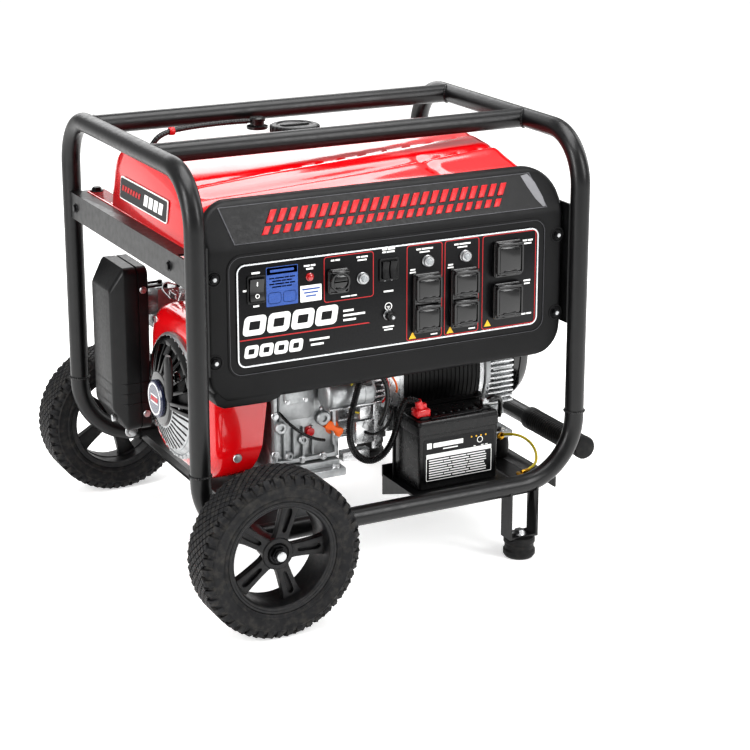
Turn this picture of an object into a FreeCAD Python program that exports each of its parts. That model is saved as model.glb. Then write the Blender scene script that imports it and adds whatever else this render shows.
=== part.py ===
"""Open-frame portable generator: tube frame, wheels, engine, alternator, tank and control console.

Millimetres. +X runs along the console to the alternator end, -Y is the console side, +Z is up.
Sizes are laid out from the centre of the tube frame; save() moves the origin to the middle of
the whole generator, on the ground.
"""
import FreeCAD, Part
import math
import os

V = FreeCAD.Vector
AXIS_X, AXIS_Y, AXIS_Z = V(1, 0, 0), V(0, 1, 0), V(0, 0, 1)

# ---- tube frame
frame_length = 672.0        # end hoop to end hoop, tube centres, along X
frame_width = 550.0         # post to post, tube centres, along Y
half_length = frame_length / 2
half_width = frame_width / 2
frame_top = 706.0           # centre of the top tubes above the ground
rail_height = 126.0         # centre of the bottom rails above the ground
tube_radius = 16.0
tube_wall = 2.0
top_bend = 85.0
bottom_bend = 105.0
post_stub = 10.0            # straight end above a bottom bend, where the post is welded on
top_rail_front_y = -98.0
top_rail_back_y = 166.0
rail_setback = 0.5          # top rail's crown, inwards from the hoop's centre line
# ---- fits and gaps
running_gap = 0.05          # radial clearance of a shaft that turns in a bore
part_gap = 0.4              # gap between faces that move past each other
sheet = 3.0                 # pressed steel
# ---- wheels and feet
wheel_x = 86.0 - half_length
wheel_radius = 131.0
tyre_width = 76.0
tyre_tread_width = 30.0
wheel_to_post = 25.0        # post's outer face to the tyre's inner side
rim_radius = 90.0
rim_width = 66.0
hub_radius = 24.0
axle_radius = 8.0
spoke_count = 5
foot_x = half_length - 102.0
foot_radius = 27.0
foot_height = 36.0
foot_strap_width = 54.0
foot_strap_depth = 30.0
foot_strap_thickness = 4.0
foot_bolt_radius = 5.0
# ---- console
console_half = half_length - tube_radius - 6.0
console_bottom = 342.0
console_shoulder = 585.0    # where the front starts to lean back
console_top = 650.0
console_front = 13.0 - half_width
console_lean = 37.0
console_ledge = 3.0         # flat top behind the leaning front
console_back = console_front + console_lean + console_ledge
console_wall = 3.0
console_corner = 50.0
plate_width, plate_height, plate_thickness = 2 * console_half - 96.0, 163.0, 2.0
plate_z = 479.0
console_bolt_x = console_half - 12.0
console_bolt_z = (412.0, 543.0)
outlet_depth = 10.0
cover_thickness = 5.0
barrel_radius = 2.6
hinge_drop = 3.5            # hinge line below the top of an outlet's cell
# ---- tank and its channels
channel_top = 576.0
channel_height = 45.0
channel_web_offset = 5.0    # web's inner face, outwards from the post centre
channel_flange = 42.0
tank_left = 18.0 - half_length
tank_right = half_length - 56.0
tank_front = console_back + 7.0
tank_back = 150.0
tank_top = 687.0
tank_floor_drop = 50.0
tank_wall = 1.5
tank_bolt_x = half_length - 32.0
tank_bolt_rows = (85.0 - half_width, half_width - 35.0)
ear_reach = half_length - 16.0
ear_back = half_width - 17.0
cap_x, cap_y = -25.0, 40.0
cap_radius = 42.0
neck_radius = 30.0
# ---- engine
crank_y, crank_z = -10.0, 280.0
crank_radius = 17.5
crankcase_left, crankcase_right = -150.0, -30.0
crankcase_front, crankcase_back = -128.0, 108.0
crankcase_floor, crankcase_roof = 165.0, 350.0
base_floor = 145.0
case_wall = 8.0
cylinder_tilt = 25.0        # degrees above the horizontal, towards the back
cylinder_radius = 60.0
cylinder_bore = 45.0
cylinder_reach = 178.0
head_thickness = 46.0
shroud_left = -264.0
shroud_front, shroud_back = -130.0, 128.0
shroud_floor, shroud_top = 152.0, 415.0
flywheel_radius = 98.0
recoil_radius = 106.0
recoil_face = -300.0
# ---- alternator
adaptor_right = 54.0
stator_left, stator_right = 60.0, 250.0
alternator_radius = 120.0
rotor_radius = 84.0
air_gap = 0.6
bell_right = 312.0
cover_right = 346.0
cover_y, cover_z, cover_radius = -18.0, 296.0, 102.0
# ---- mounts under the engine
member_top = 128.0
member_height = 18.0
member_spans = ((-232.0, -84.0), (236.0, 304.0))
isolator_radius = 19.0
bell_foot_half = 152.0      # half the end bell's foot, across the frame
bell_foot_floor, bell_foot_top = 165.0, 178.0
# ---- battery
battery_left, battery_right = 66.0, 218.0
battery_front = 45.0 - half_width
battery_back = battery_front + 90.0
battery_floor, battery_top = 127.0, 246.0
tray_thickness = 4.0
tray_left, tray_right = battery_left - 14.0, battery_right + 14.0
gusset_floor = 90.0
lead_radius = 5.5
earth_radius = 2.4
# ---- folding handle
handle_x = half_length + 38.0
handle_z = 160.0
handle_hinge_y = half_width - 25.0
handle_end_y = 20.0 - half_width
grip_start_y = handle_end_y + 180.0
grip_radius = 20.0
hinge_pin_radius = 5.0

bend_top_z = rail_height + bottom_bend + post_stub
wheel_inner_y = half_width + tube_radius + wheel_to_post
wheel_y = wheel_inner_y + tyre_width / 2
panel_y = console_front - plate_thickness
middle_x = (wheel_x - wheel_radius + handle_x + grip_radius) / 2


def box(x0, x1, y0, y1, z0, z1):
    """Box between two opposite corners."""
    return Part.makeBox(x1 - x0, y1 - y0, z1 - z0, V(x0, y0, z0))


def rod(radius, start, end):
    """Round bar from one point to another."""
    run = end - start
    return Part.makeCylinder(radius, run.Length, start, run)


def ring(outer, inner, start, end):
    """Round sleeve from one point to another."""
    return rod(outer, start, end).cut(rod(inner, start, end))


def fuse(solids):
    """One solid from solids that touch or overlap."""
    first, rest = solids[0], solids[1:]
    return first.fuse(rest).removeSplitter()


def round_edges(solid, radius, axis):
    """Fillet the straight edges that run along an axis."""
    chosen = []
    for edge in solid.Edges:
        if edge.Curve.TypeId == "Part::GeomLine":
            if abs(edge.tangentAt(edge.FirstParameter).dot(axis)) > 0.999:
                chosen.append(edge)
    return solid.makeFillet(radius, chosen)


def prism(points, travel):
    """Flat outline swept straight."""
    return Part.Face(Part.makePolygon(points + [points[0]])).extrude(travel)


def route(points, radii):
    """Wire of straight runs through the points, joined by tangent arcs."""
    edges = []
    start = points[0]
    for corner_index, radius in enumerate(radii, start=1):
        corner = points[corner_index]
        arriving = (corner - points[corner_index - 1]).normalize()
        leaving = (points[corner_index + 1] - corner).normalize()
        half_turn = arriving.getAngle(leaving) / 2
        reach = radius * math.tan(half_turn)
        inwards = (leaving - arriving).normalize()
        middle = corner + inwards * (radius / math.cos(half_turn) - radius)
        arc_start, arc_end = corner - arriving * reach, corner + leaving * reach
        edges.append(Part.LineSegment(start, arc_start).toShape())
        edges.append(Part.Arc(arc_start, middle, arc_end).toShape())
        start = arc_end
    edges.append(Part.LineSegment(start, points[-1]).toShape())
    return Part.Wire(edges)


def bar_along(points, radii, radius):
    """Round bar that follows a route."""
    profile = Part.Wire(Part.makeCircle(radius, points[0], points[1] - points[0]))
    return route(points, radii).makePipeShell([profile], True, False)


def tube_along(points, radii):
    """Frame tube that follows a route: its outer bar and the tube itself."""
    outer = bar_along(points, radii, tube_radius)
    return outer, outer.cut(bar_along(points, radii, tube_radius - tube_wall))


def cable_radii(name, points):
    """Largest tangent arc at each corner of a cable's route."""
    radii = []
    for before, corner, after in zip(points, points[1:], points[2:]):
        arriving, leaving = corner - before, after - corner
        half_turn = arriving.getAngle(leaving) / 2
        radii.append(0.45 * min(arriving.Length, leaving.Length) / math.tan(half_turn))
    print(name, "bend radii", [round(radius) for radius in radii])
    return radii


def mirrored_y(solid):
    """Copy on the other side of the XZ plane."""
    return solid.mirror(V(0, 0, 0), AXIS_Y)


def mirrored_x(solid):
    """Copy on the other side of the YZ plane."""
    return solid.mirror(V(0, 0, 0), AXIS_X)


def save(name, *solids):
    """Write one node, moved so that the generator's middle is at the origin."""
    shape = solids[0] if len(solids) == 1 else Part.makeCompound(list(solids))
    shape = shape.copy()
    shape.translate(V(-middle_x, 0, 0))
    shape.exportStep(f"parts/{name}.step")


# ---------------------------------------------------------------- frame
def end_hoop(x):
    """Two posts and the tube across their tops."""
    points = [
        V(x, -half_width, bend_top_z),
        V(x, -half_width, frame_top),
        V(x, half_width, frame_top),
        V(x, half_width, bend_top_z),
    ]
    return tube_along(points, [top_bend, top_bend])


def bottom_rail(y):
    """Bottom tube that bends up into a post at each end."""
    points = [
        V(-half_length, y, bend_top_z),
        V(-half_length, y, rail_height),
        V(half_length, y, rail_height),
        V(half_length, y, bend_top_z),
    ]
    return tube_along(points, [bottom_bend, bottom_bend])


def build_frame():
    """Closed tube frame, its cross channels and welded brackets."""
    hoop_bars, rail_bars = [], []
    for name, x in (("left", -half_length), ("right", half_length)):
        bar, tube = end_hoop(x)
        hoop_bars.append(bar)
        save(f"end_hoop_{name}", tube)
    for name, side in (("front", -1), ("back", 1)):
        bar, tube = bottom_rail(side * half_width)
        rail_bars.append(bar)
        save(f"bottom_rail_{name}", tube.cut(axle_bolt(side)))
    top_rails = []
    for y in (top_rail_front_y, top_rail_back_y):
        reach = half_length - rail_setback
        ends = V(-reach, y, frame_top), V(reach, y, frame_top)
        top_rails.append(ring(tube_radius, tube_radius - tube_wall, *ends).cut(hoop_bars))
    save("top_rails", *top_rails)
    bars = hoop_bars + rail_bars
    channel = tank_channel().cut(bars)
    save("cross_channels", channel, mirrored_x(channel), *[member.cut(bars) for member in engine_members()])
    brackets = console_brackets() + foot_straps() + axle_bosses() + [handle_clevis()]
    save("weld_on_brackets", *[bracket.cut(bars) for bracket in brackets])
    return bars


def tank_channel():
    """Left pressed channel between the posts that carries the tank."""
    web_x = -half_length - channel_web_offset
    floor = channel_top - channel_height
    web = box(web_x - sheet, web_x, -half_width, half_width, floor, channel_top)
    reach = half_width - tube_radius
    front = console_back + 4
    top = box(web_x, web_x + channel_flange, front, reach, channel_top - sheet, channel_top)
    foot = box(web_x, web_x + channel_flange / 2, front, reach, floor, floor + sheet)
    holes = [rod(4, V(x, y, channel_top - 9), V(x, y, channel_top)) for x, y in tank_bolt_places()]
    return fuse([web, top, foot]).cut(holes)


def engine_members():
    """Top-hat members across the bottom rails under the engine and the alternator."""
    members = []
    for x0, x1 in member_spans:
        outer = box(x0, x1, -half_width, half_width, member_top - member_height, member_top)
        hollow = box(x0 + sheet, x1 - sheet, -half_width, half_width,
                     member_top - member_height, member_top - sheet)
        members.append(outer.cut(hollow))
    return members


def console_brackets():
    """Slotted plates on the front posts, each with two tabs behind the console's corners."""
    post_face = half_length - tube_radius
    plate = box(post_face - 4.5, post_face - 0.5, -half_width, -half_width + 45, 395, 595)
    slot = box(post_face - 5, post_face, -half_width + 22, -half_width + 30, 500, 520)
    tabs = [
        box(console_bolt_x - 12, post_face - 0.5, console_front + 6, console_front + 10, z - 14, z + 14)
        for z in console_bolt_z
    ]
    holes = [
        rod(4, V(console_bolt_x, console_front, z), V(console_bolt_x, console_front + 12, z))
        for z in console_bolt_z
    ]
    bracket = fuse([plate.cut(slot)] + tabs).cut(holes)
    return [bracket, mirrored_x(bracket)]


def foot_straps():
    """U-straps under the bottom rails that hold the rubber feet."""
    half, deep, thick = foot_strap_width / 2, foot_strap_depth / 2, foot_strap_thickness
    y = -half_width
    outer = box(foot_x - half, foot_x + half, y - deep, y + deep, foot_height, rail_height)
    gap = box(foot_x - half + thick, foot_x + half - thick, y - deep, y + deep,
              foot_height + thick, rail_height)
    hole = rod(foot_bolt_radius, V(foot_x, y, foot_height), V(foot_x, y, foot_height + thick))
    strap = outer.cut([gap, hole])
    return [strap, mirrored_y(strap)]


def axle_bosses():
    """Spacer bosses on the outsides of the rails."""
    start = V(wheel_x, -half_width, wheel_radius)
    end = V(wheel_x, -wheel_inner_y - 4, wheel_radius)
    boss = ring(axle_radius + 7, axle_radius, start, end)
    return [boss, mirrored_y(boss)]


def handle_clevis():
    """Two ears on the back right bend that hold the handle's hinge pin."""
    inner = tube_radius + part_gap
    ears = []
    for z0 in (handle_z + inner, handle_z - inner - 5):
        ear = box(half_length - 60, handle_x + 14, handle_hinge_y - 14, half_width + 10, z0, z0 + 5)
        ears.append(ear)
    web = box(half_length - 60, half_length + 8, half_width + 4, half_width + 10,
              handle_z - inner - 5, handle_z + inner + 5)
    pin = rod(hinge_pin_radius, V(handle_x, handle_hinge_y, 0), V(handle_x, handle_hinge_y, 400))
    return fuse(ears + [web]).cut(pin)


def bolt(radius, head_radius, head_height, under_head, tip):
    """Hexagon bolt from under its head to its tip."""
    run = (tip - under_head).normalize()
    axis_x = run.cross(V(0.3, 0.5, 0.8)).normalize()
    axis_y = run.cross(axis_x)
    corners = []
    for step in range(6):
        angle = math.radians(60 * step)
        offset = axis_x * (head_radius * math.cos(angle)) + axis_y * (head_radius * math.sin(angle))
        corners.append(under_head + offset)
    head = prism(corners, run * -head_height)
    return fuse([head, rod(radius, under_head, tip)])


def axle_bolt(side):
    """Stub axle through the bottom rail, with its head inside and its nut outside the wheel."""
    inner = side * (half_width - tube_radius - 1)
    hub_end = side * (wheel_y + 12)
    under_head, tip, nut_in, nut_out = [
        V(wheel_x, y, wheel_radius)
        for y in (inner, hub_end + side * 16, hub_end + side, hub_end + side * 12)
    ]
    shank = bolt(axle_radius, 14, 9, under_head, tip)
    nut = ring(13, axle_radius, nut_in, nut_out)
    return fuse([shank, nut])


def build_bolts():
    """Fasteners that show: axle, foot, console, tank and channel bolts, and the hinge pin."""
    bolts = [axle_bolt(-1), axle_bolt(1)]
    for side in (-1, 1):
        y = side * half_width
        seat = foot_height + foot_strap_thickness
        bolts.append(bolt(foot_bolt_radius, 9, 7, V(foot_x, y, seat), V(foot_x, y, foot_height - 20)))
    for x in (-console_bolt_x, console_bolt_x):
        for z in console_bolt_z:
            bolts.append(bolt(4, 8, 6, V(x, console_front, z), V(x, console_front + 12, z)))
    for x, y in tank_bolt_places():
        seat = channel_top + tank_wall
        bolts.append(bolt(4, 9, 8, V(x, y, seat), V(x, y, channel_top - 8)))
    reach = hinge_pin_radius + tube_radius + part_gap + 7
    pin = bolt(hinge_pin_radius, 9, 6, V(handle_x, handle_hinge_y, handle_z + tube_radius + part_gap + 5),
               V(handle_x, handle_hinge_y, handle_z - reach))
    save("frame_bolts", *bolts, pin)


def build_feet():
    """Rubber feet with a blind hole for their bolts."""
    feet = []
    for side in (-1, 1):
        y = side * half_width
        pad = rod(foot_radius, V(foot_x, y, 0), V(foot_x, y, foot_height))
        pad = pad.makeFillet(4, [edge for edge in pad.Edges if edge.Closed])
        feet.append(pad.cut(rod(foot_bolt_radius, V(foot_x, y, foot_height - 20), V(foot_x, y, foot_height))))
    save("rubber_feet", *feet)
    cushions = []
    for x, reach, z in ((-108.0, 80.0, base_floor), (270.0, 130.0, bell_foot_floor)):
        for side in (-1, 1):
            y = crank_y + side * reach
            cushions.append(rod(isolator_radius, V(x, y, member_top), V(x, y, z)))
    save("engine_isolators", *cushions)


# ---------------------------------------------------------------- wheels
def turned(profile, y):
    """Solid turned about the wheel's axle from (radius, offset) points."""
    points = [V(wheel_x, y + offset, wheel_radius + radius) for radius, offset in profile]
    face = Part.Face(Part.makePolygon(points + [points[0]]))
    return face.revolve(V(wheel_x, 0, wheel_radius), AXIS_Y, 360)


def build_wheels():
    """Solid tyres on five-spoke plastic rims."""
    half, tread, lip = tyre_width / 2, tyre_tread_width / 2, rim_width / 2
    crown, bulge = wheel_radius, (wheel_radius + rim_radius) / 2
    side = [(crown, tread), (crown - 7, half - 9), (bulge, half), (rim_radius + 4, lip)]
    tyre_profile = side + [(rim_radius, lip), (rim_radius, -lip)] + [(r, -o) for r, o in reversed(side)]
    barrel_profile = [(rim_radius, lip), (rim_radius, -lip), (rim_radius - 12, -lip), (rim_radius - 15, 0),
                      (rim_radius - 12, lip)]
    for name, sign in (("front", -1), ("back", 1)):
        y = sign * wheel_y
        save(f"{name}_tyre", turned(tyre_profile, y))
        barrel = turned(barrel_profile, y)
        web_out, web_in = y + sign * 12, y - sign * 4
        disc = rod(rim_radius - 10, V(wheel_x, web_in, wheel_radius), V(wheel_x, web_out, wheel_radius))
        hub_in = sign * (wheel_inner_y + 5)
        hub = rod(hub_radius, V(wheel_x, hub_in, wheel_radius), V(wheel_x, web_out, wheel_radius))
        rim = fuse([barrel, disc.cut(spoke_windows(y)), hub])
        ends = V(wheel_x, y - 60, wheel_radius), V(wheel_x, y + 60, wheel_radius)
        bore = rod(axle_radius + running_gap, *ends)
        save(f"{name}_rim", rim.cut(bore))


def spoke_windows(y):
    """Wedge windows between the spokes."""
    windows = []
    near, far = hub_radius + 8, rim_radius - 16
    half_angle = math.pi / spoke_count - 0.24
    corners = [(near, -half_angle * 0.7), (far, -half_angle), (far, half_angle), (near, half_angle * 0.7)]
    for index in range(spoke_count):
        middle = 2 * math.pi * (index + 0.5) / spoke_count
        points = [
            V(wheel_x + r * math.cos(middle + a), y - 40, wheel_radius + r * math.sin(middle + a))
            for r, a in corners
        ]
        windows.append(prism(points, AXIS_Y * 80))
    return windows


# ---------------------------------------------------------------- tank
def tank_section(x, inset):
    """Upper tank outline across the frame, at one X, as a list of points."""
    base = channel_top + inset
    return [
        V(x, tank_front + inset, base), V(x, tank_front + inset, 600), V(x, tank_front + 23 + inset, 636),
        V(x, tank_front + 83, 674 - inset), V(x, cap_y, tank_top - inset), V(x, tank_back - 34, 676 - inset),
        V(x, tank_back - inset, 640), V(x, tank_back - inset, base),
    ]


def tank_bolt_places():
    """Bolts through the tank's four ears."""
    return [(x, y) for x in (-tank_bolt_x, tank_bolt_x) for y in tank_bolt_rows]


def build_tank():
    """Two-shell steel tank with a seam flange, four ears and a filler neck."""
    upper = prism(tank_section(tank_left, 0), AXIS_X * (tank_right - tank_left))
    length = tank_right - tank_left
    inside = prism(tank_section(tank_left + tank_wall, tank_wall), AXIS_X * (length - 2 * tank_wall))
    floor = channel_top - tank_floor_drop
    x0, x1, y0, y1 = tank_left + 30, tank_right - 18, tank_front + 35, tank_back - 20
    lower = box(x0, x1, y0, y1, floor, channel_top)
    lower_inside = box(x0 + tank_wall, x1 - tank_wall, y0 + tank_wall, y1 - tank_wall,
                       floor + tank_wall, channel_top + 2 * tank_wall)
    ears = [
        box(-ear_reach, x0, tank_front - 2, ear_back, channel_top, channel_top + tank_wall),
        box(x1, ear_reach, tank_front - 2, ear_back, channel_top, channel_top + tank_wall),
    ]
    neck = rod(neck_radius, V(cap_x, cap_y, 670), V(cap_x, cap_y, tank_top + 8))
    bore = rod(neck_radius - 3, V(cap_x, cap_y, 660), V(cap_x, cap_y, tank_top + 9))
    tank = fuse([upper, lower, neck] + ears).cut([inside, lower_inside, bore])
    holes = [rod(4, V(x, y, channel_top - 1), V(x, y, channel_top + 4)) for x, y in tank_bolt_places()]
    save("fuel_tank", tank.cut(holes))
    skirt = rod(cap_radius, V(cap_x, cap_y, tank_top + 1), V(cap_x, cap_y, tank_top + 17))
    seat = rod(neck_radius + part_gap, V(cap_x, cap_y, tank_top), V(cap_x, cap_y, tank_top + 8 + part_gap))
    save("fuel_cap", skirt.cut(seat))
    valve = rod(18, V(-55, 126, 675), V(-55, 126, tank_top + 16)).cut(fuse([upper, lower]))
    points = [V(-74, 126, 697), V(-150, 122, 698), V(-225, 114, 694), V(-252, 112, 672)]
    hose = bar_along(points, cable_radii("vapour hose", points), 4.5).cut(upper)
    save("vapour_line", valve, hose)


# ---------------------------------------------------------------- console
def console_solid(inset):
    """Console block with a leaning upper front, shrunk by an inset."""
    front, back = console_front + inset, console_back + inset
    points = [
        V(0, front, console_bottom + inset), V(0, front, console_shoulder),
        V(0, front + console_lean, console_top - inset), V(0, back, console_top - inset),
        V(0, back, console_bottom + inset),
    ]
    half = console_half - inset
    body = prism([point - AXIS_X * half for point in points], AXIS_X * (2 * half))
    outline = box(-half, half, front - 1, back + 1, console_bottom + inset, console_top - inset)
    return body.common(round_edges(outline, console_corner - inset, AXIS_Y))


def build_console():
    """Hollow console, its face plate and the devices on the plate."""
    rear = box(-console_half + 12, console_half - 12, console_back - 8, console_back + 1,
               console_bottom + 12, console_top - 12)
    rear = round_edges(rear, console_corner - 12, AXIS_Y)
    shell = console_solid(0).cut([console_solid(console_wall), rear])
    notches = []
    for side in (-1, 1):
        for z in console_bolt_z:
            near, far = sorted((side * (console_bolt_x - 2), side * (console_half + 1)))
            notches.append(box(near, far, console_front + 5, console_back + 1, z - 16, z + 16))
            x = side * console_bolt_x
            notches.append(rod(4, V(x, console_front - 1, z), V(x, console_front + 12, z)))
    windows = rocker_windows()
    save("console_housing", shell.cut(notches + windows))
    plate = box(-plate_width / 2, plate_width / 2, panel_y, console_front,
                plate_z - plate_height / 2, plate_z + plate_height / 2)
    save("face_plate", round_edges(plate, 14, AXIS_Y).cut(windows))
    save("low_oil_lamp", rod(6.5, V(-144, panel_y, 528), V(-144, panel_y - 6, 528)))
    devices = []
    for place in rocker_places():
        devices.append(rocker_bezel(*place))
    for x, z in breaker_places():
        devices.append(ring(9.5, 5.4, V(x, panel_y, z), V(x, panel_y - 8, z)))
    stud_x, stud_z = -8.0, 449.0
    devices.append(rod(3, V(stud_x, panel_y, stud_z), V(stud_x, panel_y - 18, stud_z)))
    knob = ring(8, 3 + running_gap, V(stud_x, panel_y - 4, stud_z), V(stud_x, panel_y - 14, stud_z))
    for name, x, z, width, height, cells in outlet_places():
        devices.append(outlet_box(x, z, width, height, cells))
        for cell in range(cells):
            cell_top = z + height / 2 - cell * height / cells
            suffix = "" if cells == 1 else ("_upper", "_lower")[cell]
            save(f"{name}_cover{suffix}", outlet_cover(x, width, cell_top, height / cells))
    save("panel_devices", *devices)
    save("ground_knob", knob)
    for name, place in zip(("start_rocker", "main_breaker_rocker"), rocker_places()):
        save(name, rocker(*place))
    buttons = ("dc_breaker_button", "ac_breaker_button_1", "ac_breaker_button_2")
    for name, (x, z) in zip(buttons, breaker_places()):
        save(name, rod(5, V(x, panel_y - 0.5, z), V(x, panel_y - 13, z)))


def outlet_places():
    """Name, centre, size and number of covers of each outlet."""
    return [
        ("dc_socket", -98.0, 517.0, 36.0, 40.0, 1),
        ("duplex_1", 57.5, 462.0, 49.0, 98.0, 2),
        ("duplex_2", 125.5, 462.0, 49.0, 98.0, 2),
        ("twist_lock_1", 205.0, 517.0, 52.0, 60.0, 1),
        ("twist_lock_2", 205.0, 447.0, 52.0, 60.0, 1),
    ]


def outlet_box(x, z, width, height, cells):
    """Outlet body with hinge ears and a pin for each cover."""
    front = panel_y - outlet_depth
    body = box(x - width / 2, x + width / 2, front, panel_y, z - height / 2, z + height / 2)
    pieces = [round_edges(body, 4, AXIS_Y)]
    hinge_y = front - part_gap - cover_thickness / 2
    for cell in range(cells):
        hinge_z = z + height / 2 - cell * height / cells - hinge_drop
        for x0 in (x - width / 2 + 2, x + width / 2 - 6):
            pieces.append(box(x0, x0 + 4, hinge_y - barrel_radius, front, hinge_z - 2.6, hinge_z + 2.6))
        ends = V(x - width / 2 + 3, hinge_y, hinge_z), V(x + width / 2 - 3, hinge_y, hinge_z)
        pieces.append(rod(1.2, *ends))
    return fuse(pieces)


def outlet_cover(x, width, cell_top, cell_height):
    """Flip cover with its hinge barrel between the ears."""
    hinge_y = panel_y - outlet_depth - part_gap - cover_thickness / 2
    hinge_z = cell_top - hinge_drop
    reach = width / 2 - 6 - part_gap
    barrel = rod(barrel_radius, V(x - reach, hinge_y, hinge_z), V(x + reach, hinge_y, hinge_z))
    y0, y1 = hinge_y - cover_thickness / 2, hinge_y + cover_thickness / 2
    neck = box(x - reach, x + reach, y0, y1, hinge_z - 5, hinge_z)
    leaf = box(x - width / 2 + 1.5, x + width / 2 - 1.5, y0, y1, cell_top - cell_height + 3, hinge_z - 4.2)
    bore = rod(1.2 + running_gap, V(x - reach - 1, hinge_y, hinge_z), V(x + reach + 1, hinge_y, hinge_z))
    return fuse([round_edges(leaf, 4, AXIS_Y), neck, barrel]).cut(bore)


def rocker_places():
    """Centre, width and disc radius of the start switch and the main breaker."""
    return [(-234.0, 519.5, 24.0, 18.0), (-8.0, 524.0, 26.0, 14.0)]


def rocker_pivot_y(radius):
    """Depth of a rocker's pivot behind the plate."""
    return panel_y + radius - 10


def rocker(x, z, width, radius):
    """Rocker cut from a disc, so that it turns inside its window."""
    pivot_y = rocker_pivot_y(radius)
    disc = rod(radius, V(x - width / 2, pivot_y, z), V(x + width / 2, pivot_y, z))
    return disc.common(box(x - width, x + width, panel_y - 7, pivot_y + 4, z - radius, z + radius))


def rocker_bezel(x, z, width, radius):
    """Raised frame round a rocker."""
    half, tall = width / 2, radius
    outer = box(x - half - 5, x + half + 5, panel_y - 4, panel_y, z - tall - 4, z + tall + 4)
    inner = box(x - half - 0.6, x + half + 0.6, panel_y - 5, panel_y + 1, z - tall - 0.6, z + tall + 0.6)
    return round_edges(outer, 2, AXIS_Y).cut(inner)


def rocker_windows():
    """Windows in the plate and the console behind the rockers."""
    windows = []
    for x, z, width, radius in rocker_places():
        windows.append(box(x - width / 2 - 0.6, x + width / 2 + 0.6, panel_y - 1, console_front + 6,
                           z - radius - 0.6, z + radius + 0.6))
    return windows


def breaker_places():
    """Push-to-reset breakers: the DC one and the two AC ones."""
    return [(-54.0, 515.0), (61.0, 529.0), (129.0, 529.0)]


# ---------------------------------------------------------------- engine
def crank_point(x, out=0.0, angle=0.0):
    """Point at a distance from the crank axis, by its angle from +Y."""
    turn = math.radians(angle)
    return V(x, crank_y + out * math.cos(turn), crank_z + out * math.sin(turn))


def build_engine():
    """Crankcase, head, rotating parts and the covers round them."""
    sides = crankcase_left, crankcase_right
    case = box(*sides, crankcase_front, crankcase_back, crankcase_floor, crankcase_roof)
    case = round_edges(case, 22, AXIS_X)
    base = box(*sides, crankcase_front + 14, crankcase_back - 14, base_floor, crankcase_floor + 6)
    mid_x = (crankcase_left + crankcase_right) / 2
    barrel = rod(cylinder_radius, crank_point(mid_x), crank_point(mid_x, cylinder_reach, cylinder_tilt))
    cavity = box(crankcase_left + case_wall, crankcase_right - case_wall, crankcase_front + case_wall,
                 crankcase_back - case_wall, crankcase_floor + case_wall, crankcase_roof - case_wall)
    bore = rod(cylinder_bore, crank_point(mid_x), crank_point(mid_x, cylinder_reach + 1, cylinder_tilt))
    journal = rod(crank_radius + running_gap, crank_point(-200), crank_point(0))
    oil_hole = rod(12, dipstick_point(0), dipstick_point(-40))
    save("crankcase", fuse([case, base, barrel]).cut([cavity, bore, journal, oil_hole]))
    head = box(-56, 56, 0, head_thickness, -60, 60)
    head = round_edges(head, 14, AXIS_Y)
    head.rotate(V(0, 0, 0), AXIS_X, cylinder_tilt)
    head.translate(crank_point(mid_x, cylinder_reach, cylinder_tilt))
    save("cylinder_head", head)
    webs = [rod(58, crank_point(x), crank_point(x + 14)) for x in (-112.0, -82.0)]
    shaft = rod(crank_radius, crank_point(-262), crank_point(64))
    tail = rod(12, crank_point(64), crank_point(bell_right - 2))
    save("crankshaft", fuse([shaft, tail] + webs))
    build_blower()
    starter_y, starter_z = -158.0, 292.0
    motor = rod(27, V(-72, starter_y, starter_z), V(18, starter_y, starter_z))
    nose = box(-66, -40, starter_y + 10, crankcase_front, starter_z - 20, starter_z + 20)
    save("starter_motor", fuse([motor, nose]))
    stem = rod(12 - part_gap, dipstick_point(-38), dipstick_point(1))
    wings = rod(17, dipstick_point(1), dipstick_point(14))
    save("oil_dipstick", fuse([stem, wings]))
    muffler = round_edges(box(-10, 205, 136, 236, 352, 462), 30, AXIS_X)
    can = muffler.cut(round_edges(box(-8, 203, 138, 234, 354, 460), 28, AXIS_X))
    pipe = rod(12, V(-60, 168, 392), V(-8, 168, 392))
    save("muffler", fuse([can, pipe]).cut(head))
    build_intake()


def dipstick_point(out):
    """Point on the oil filler's axis, outwards from its mouth."""
    return V(-42, crankcase_front - out, 226)


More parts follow.
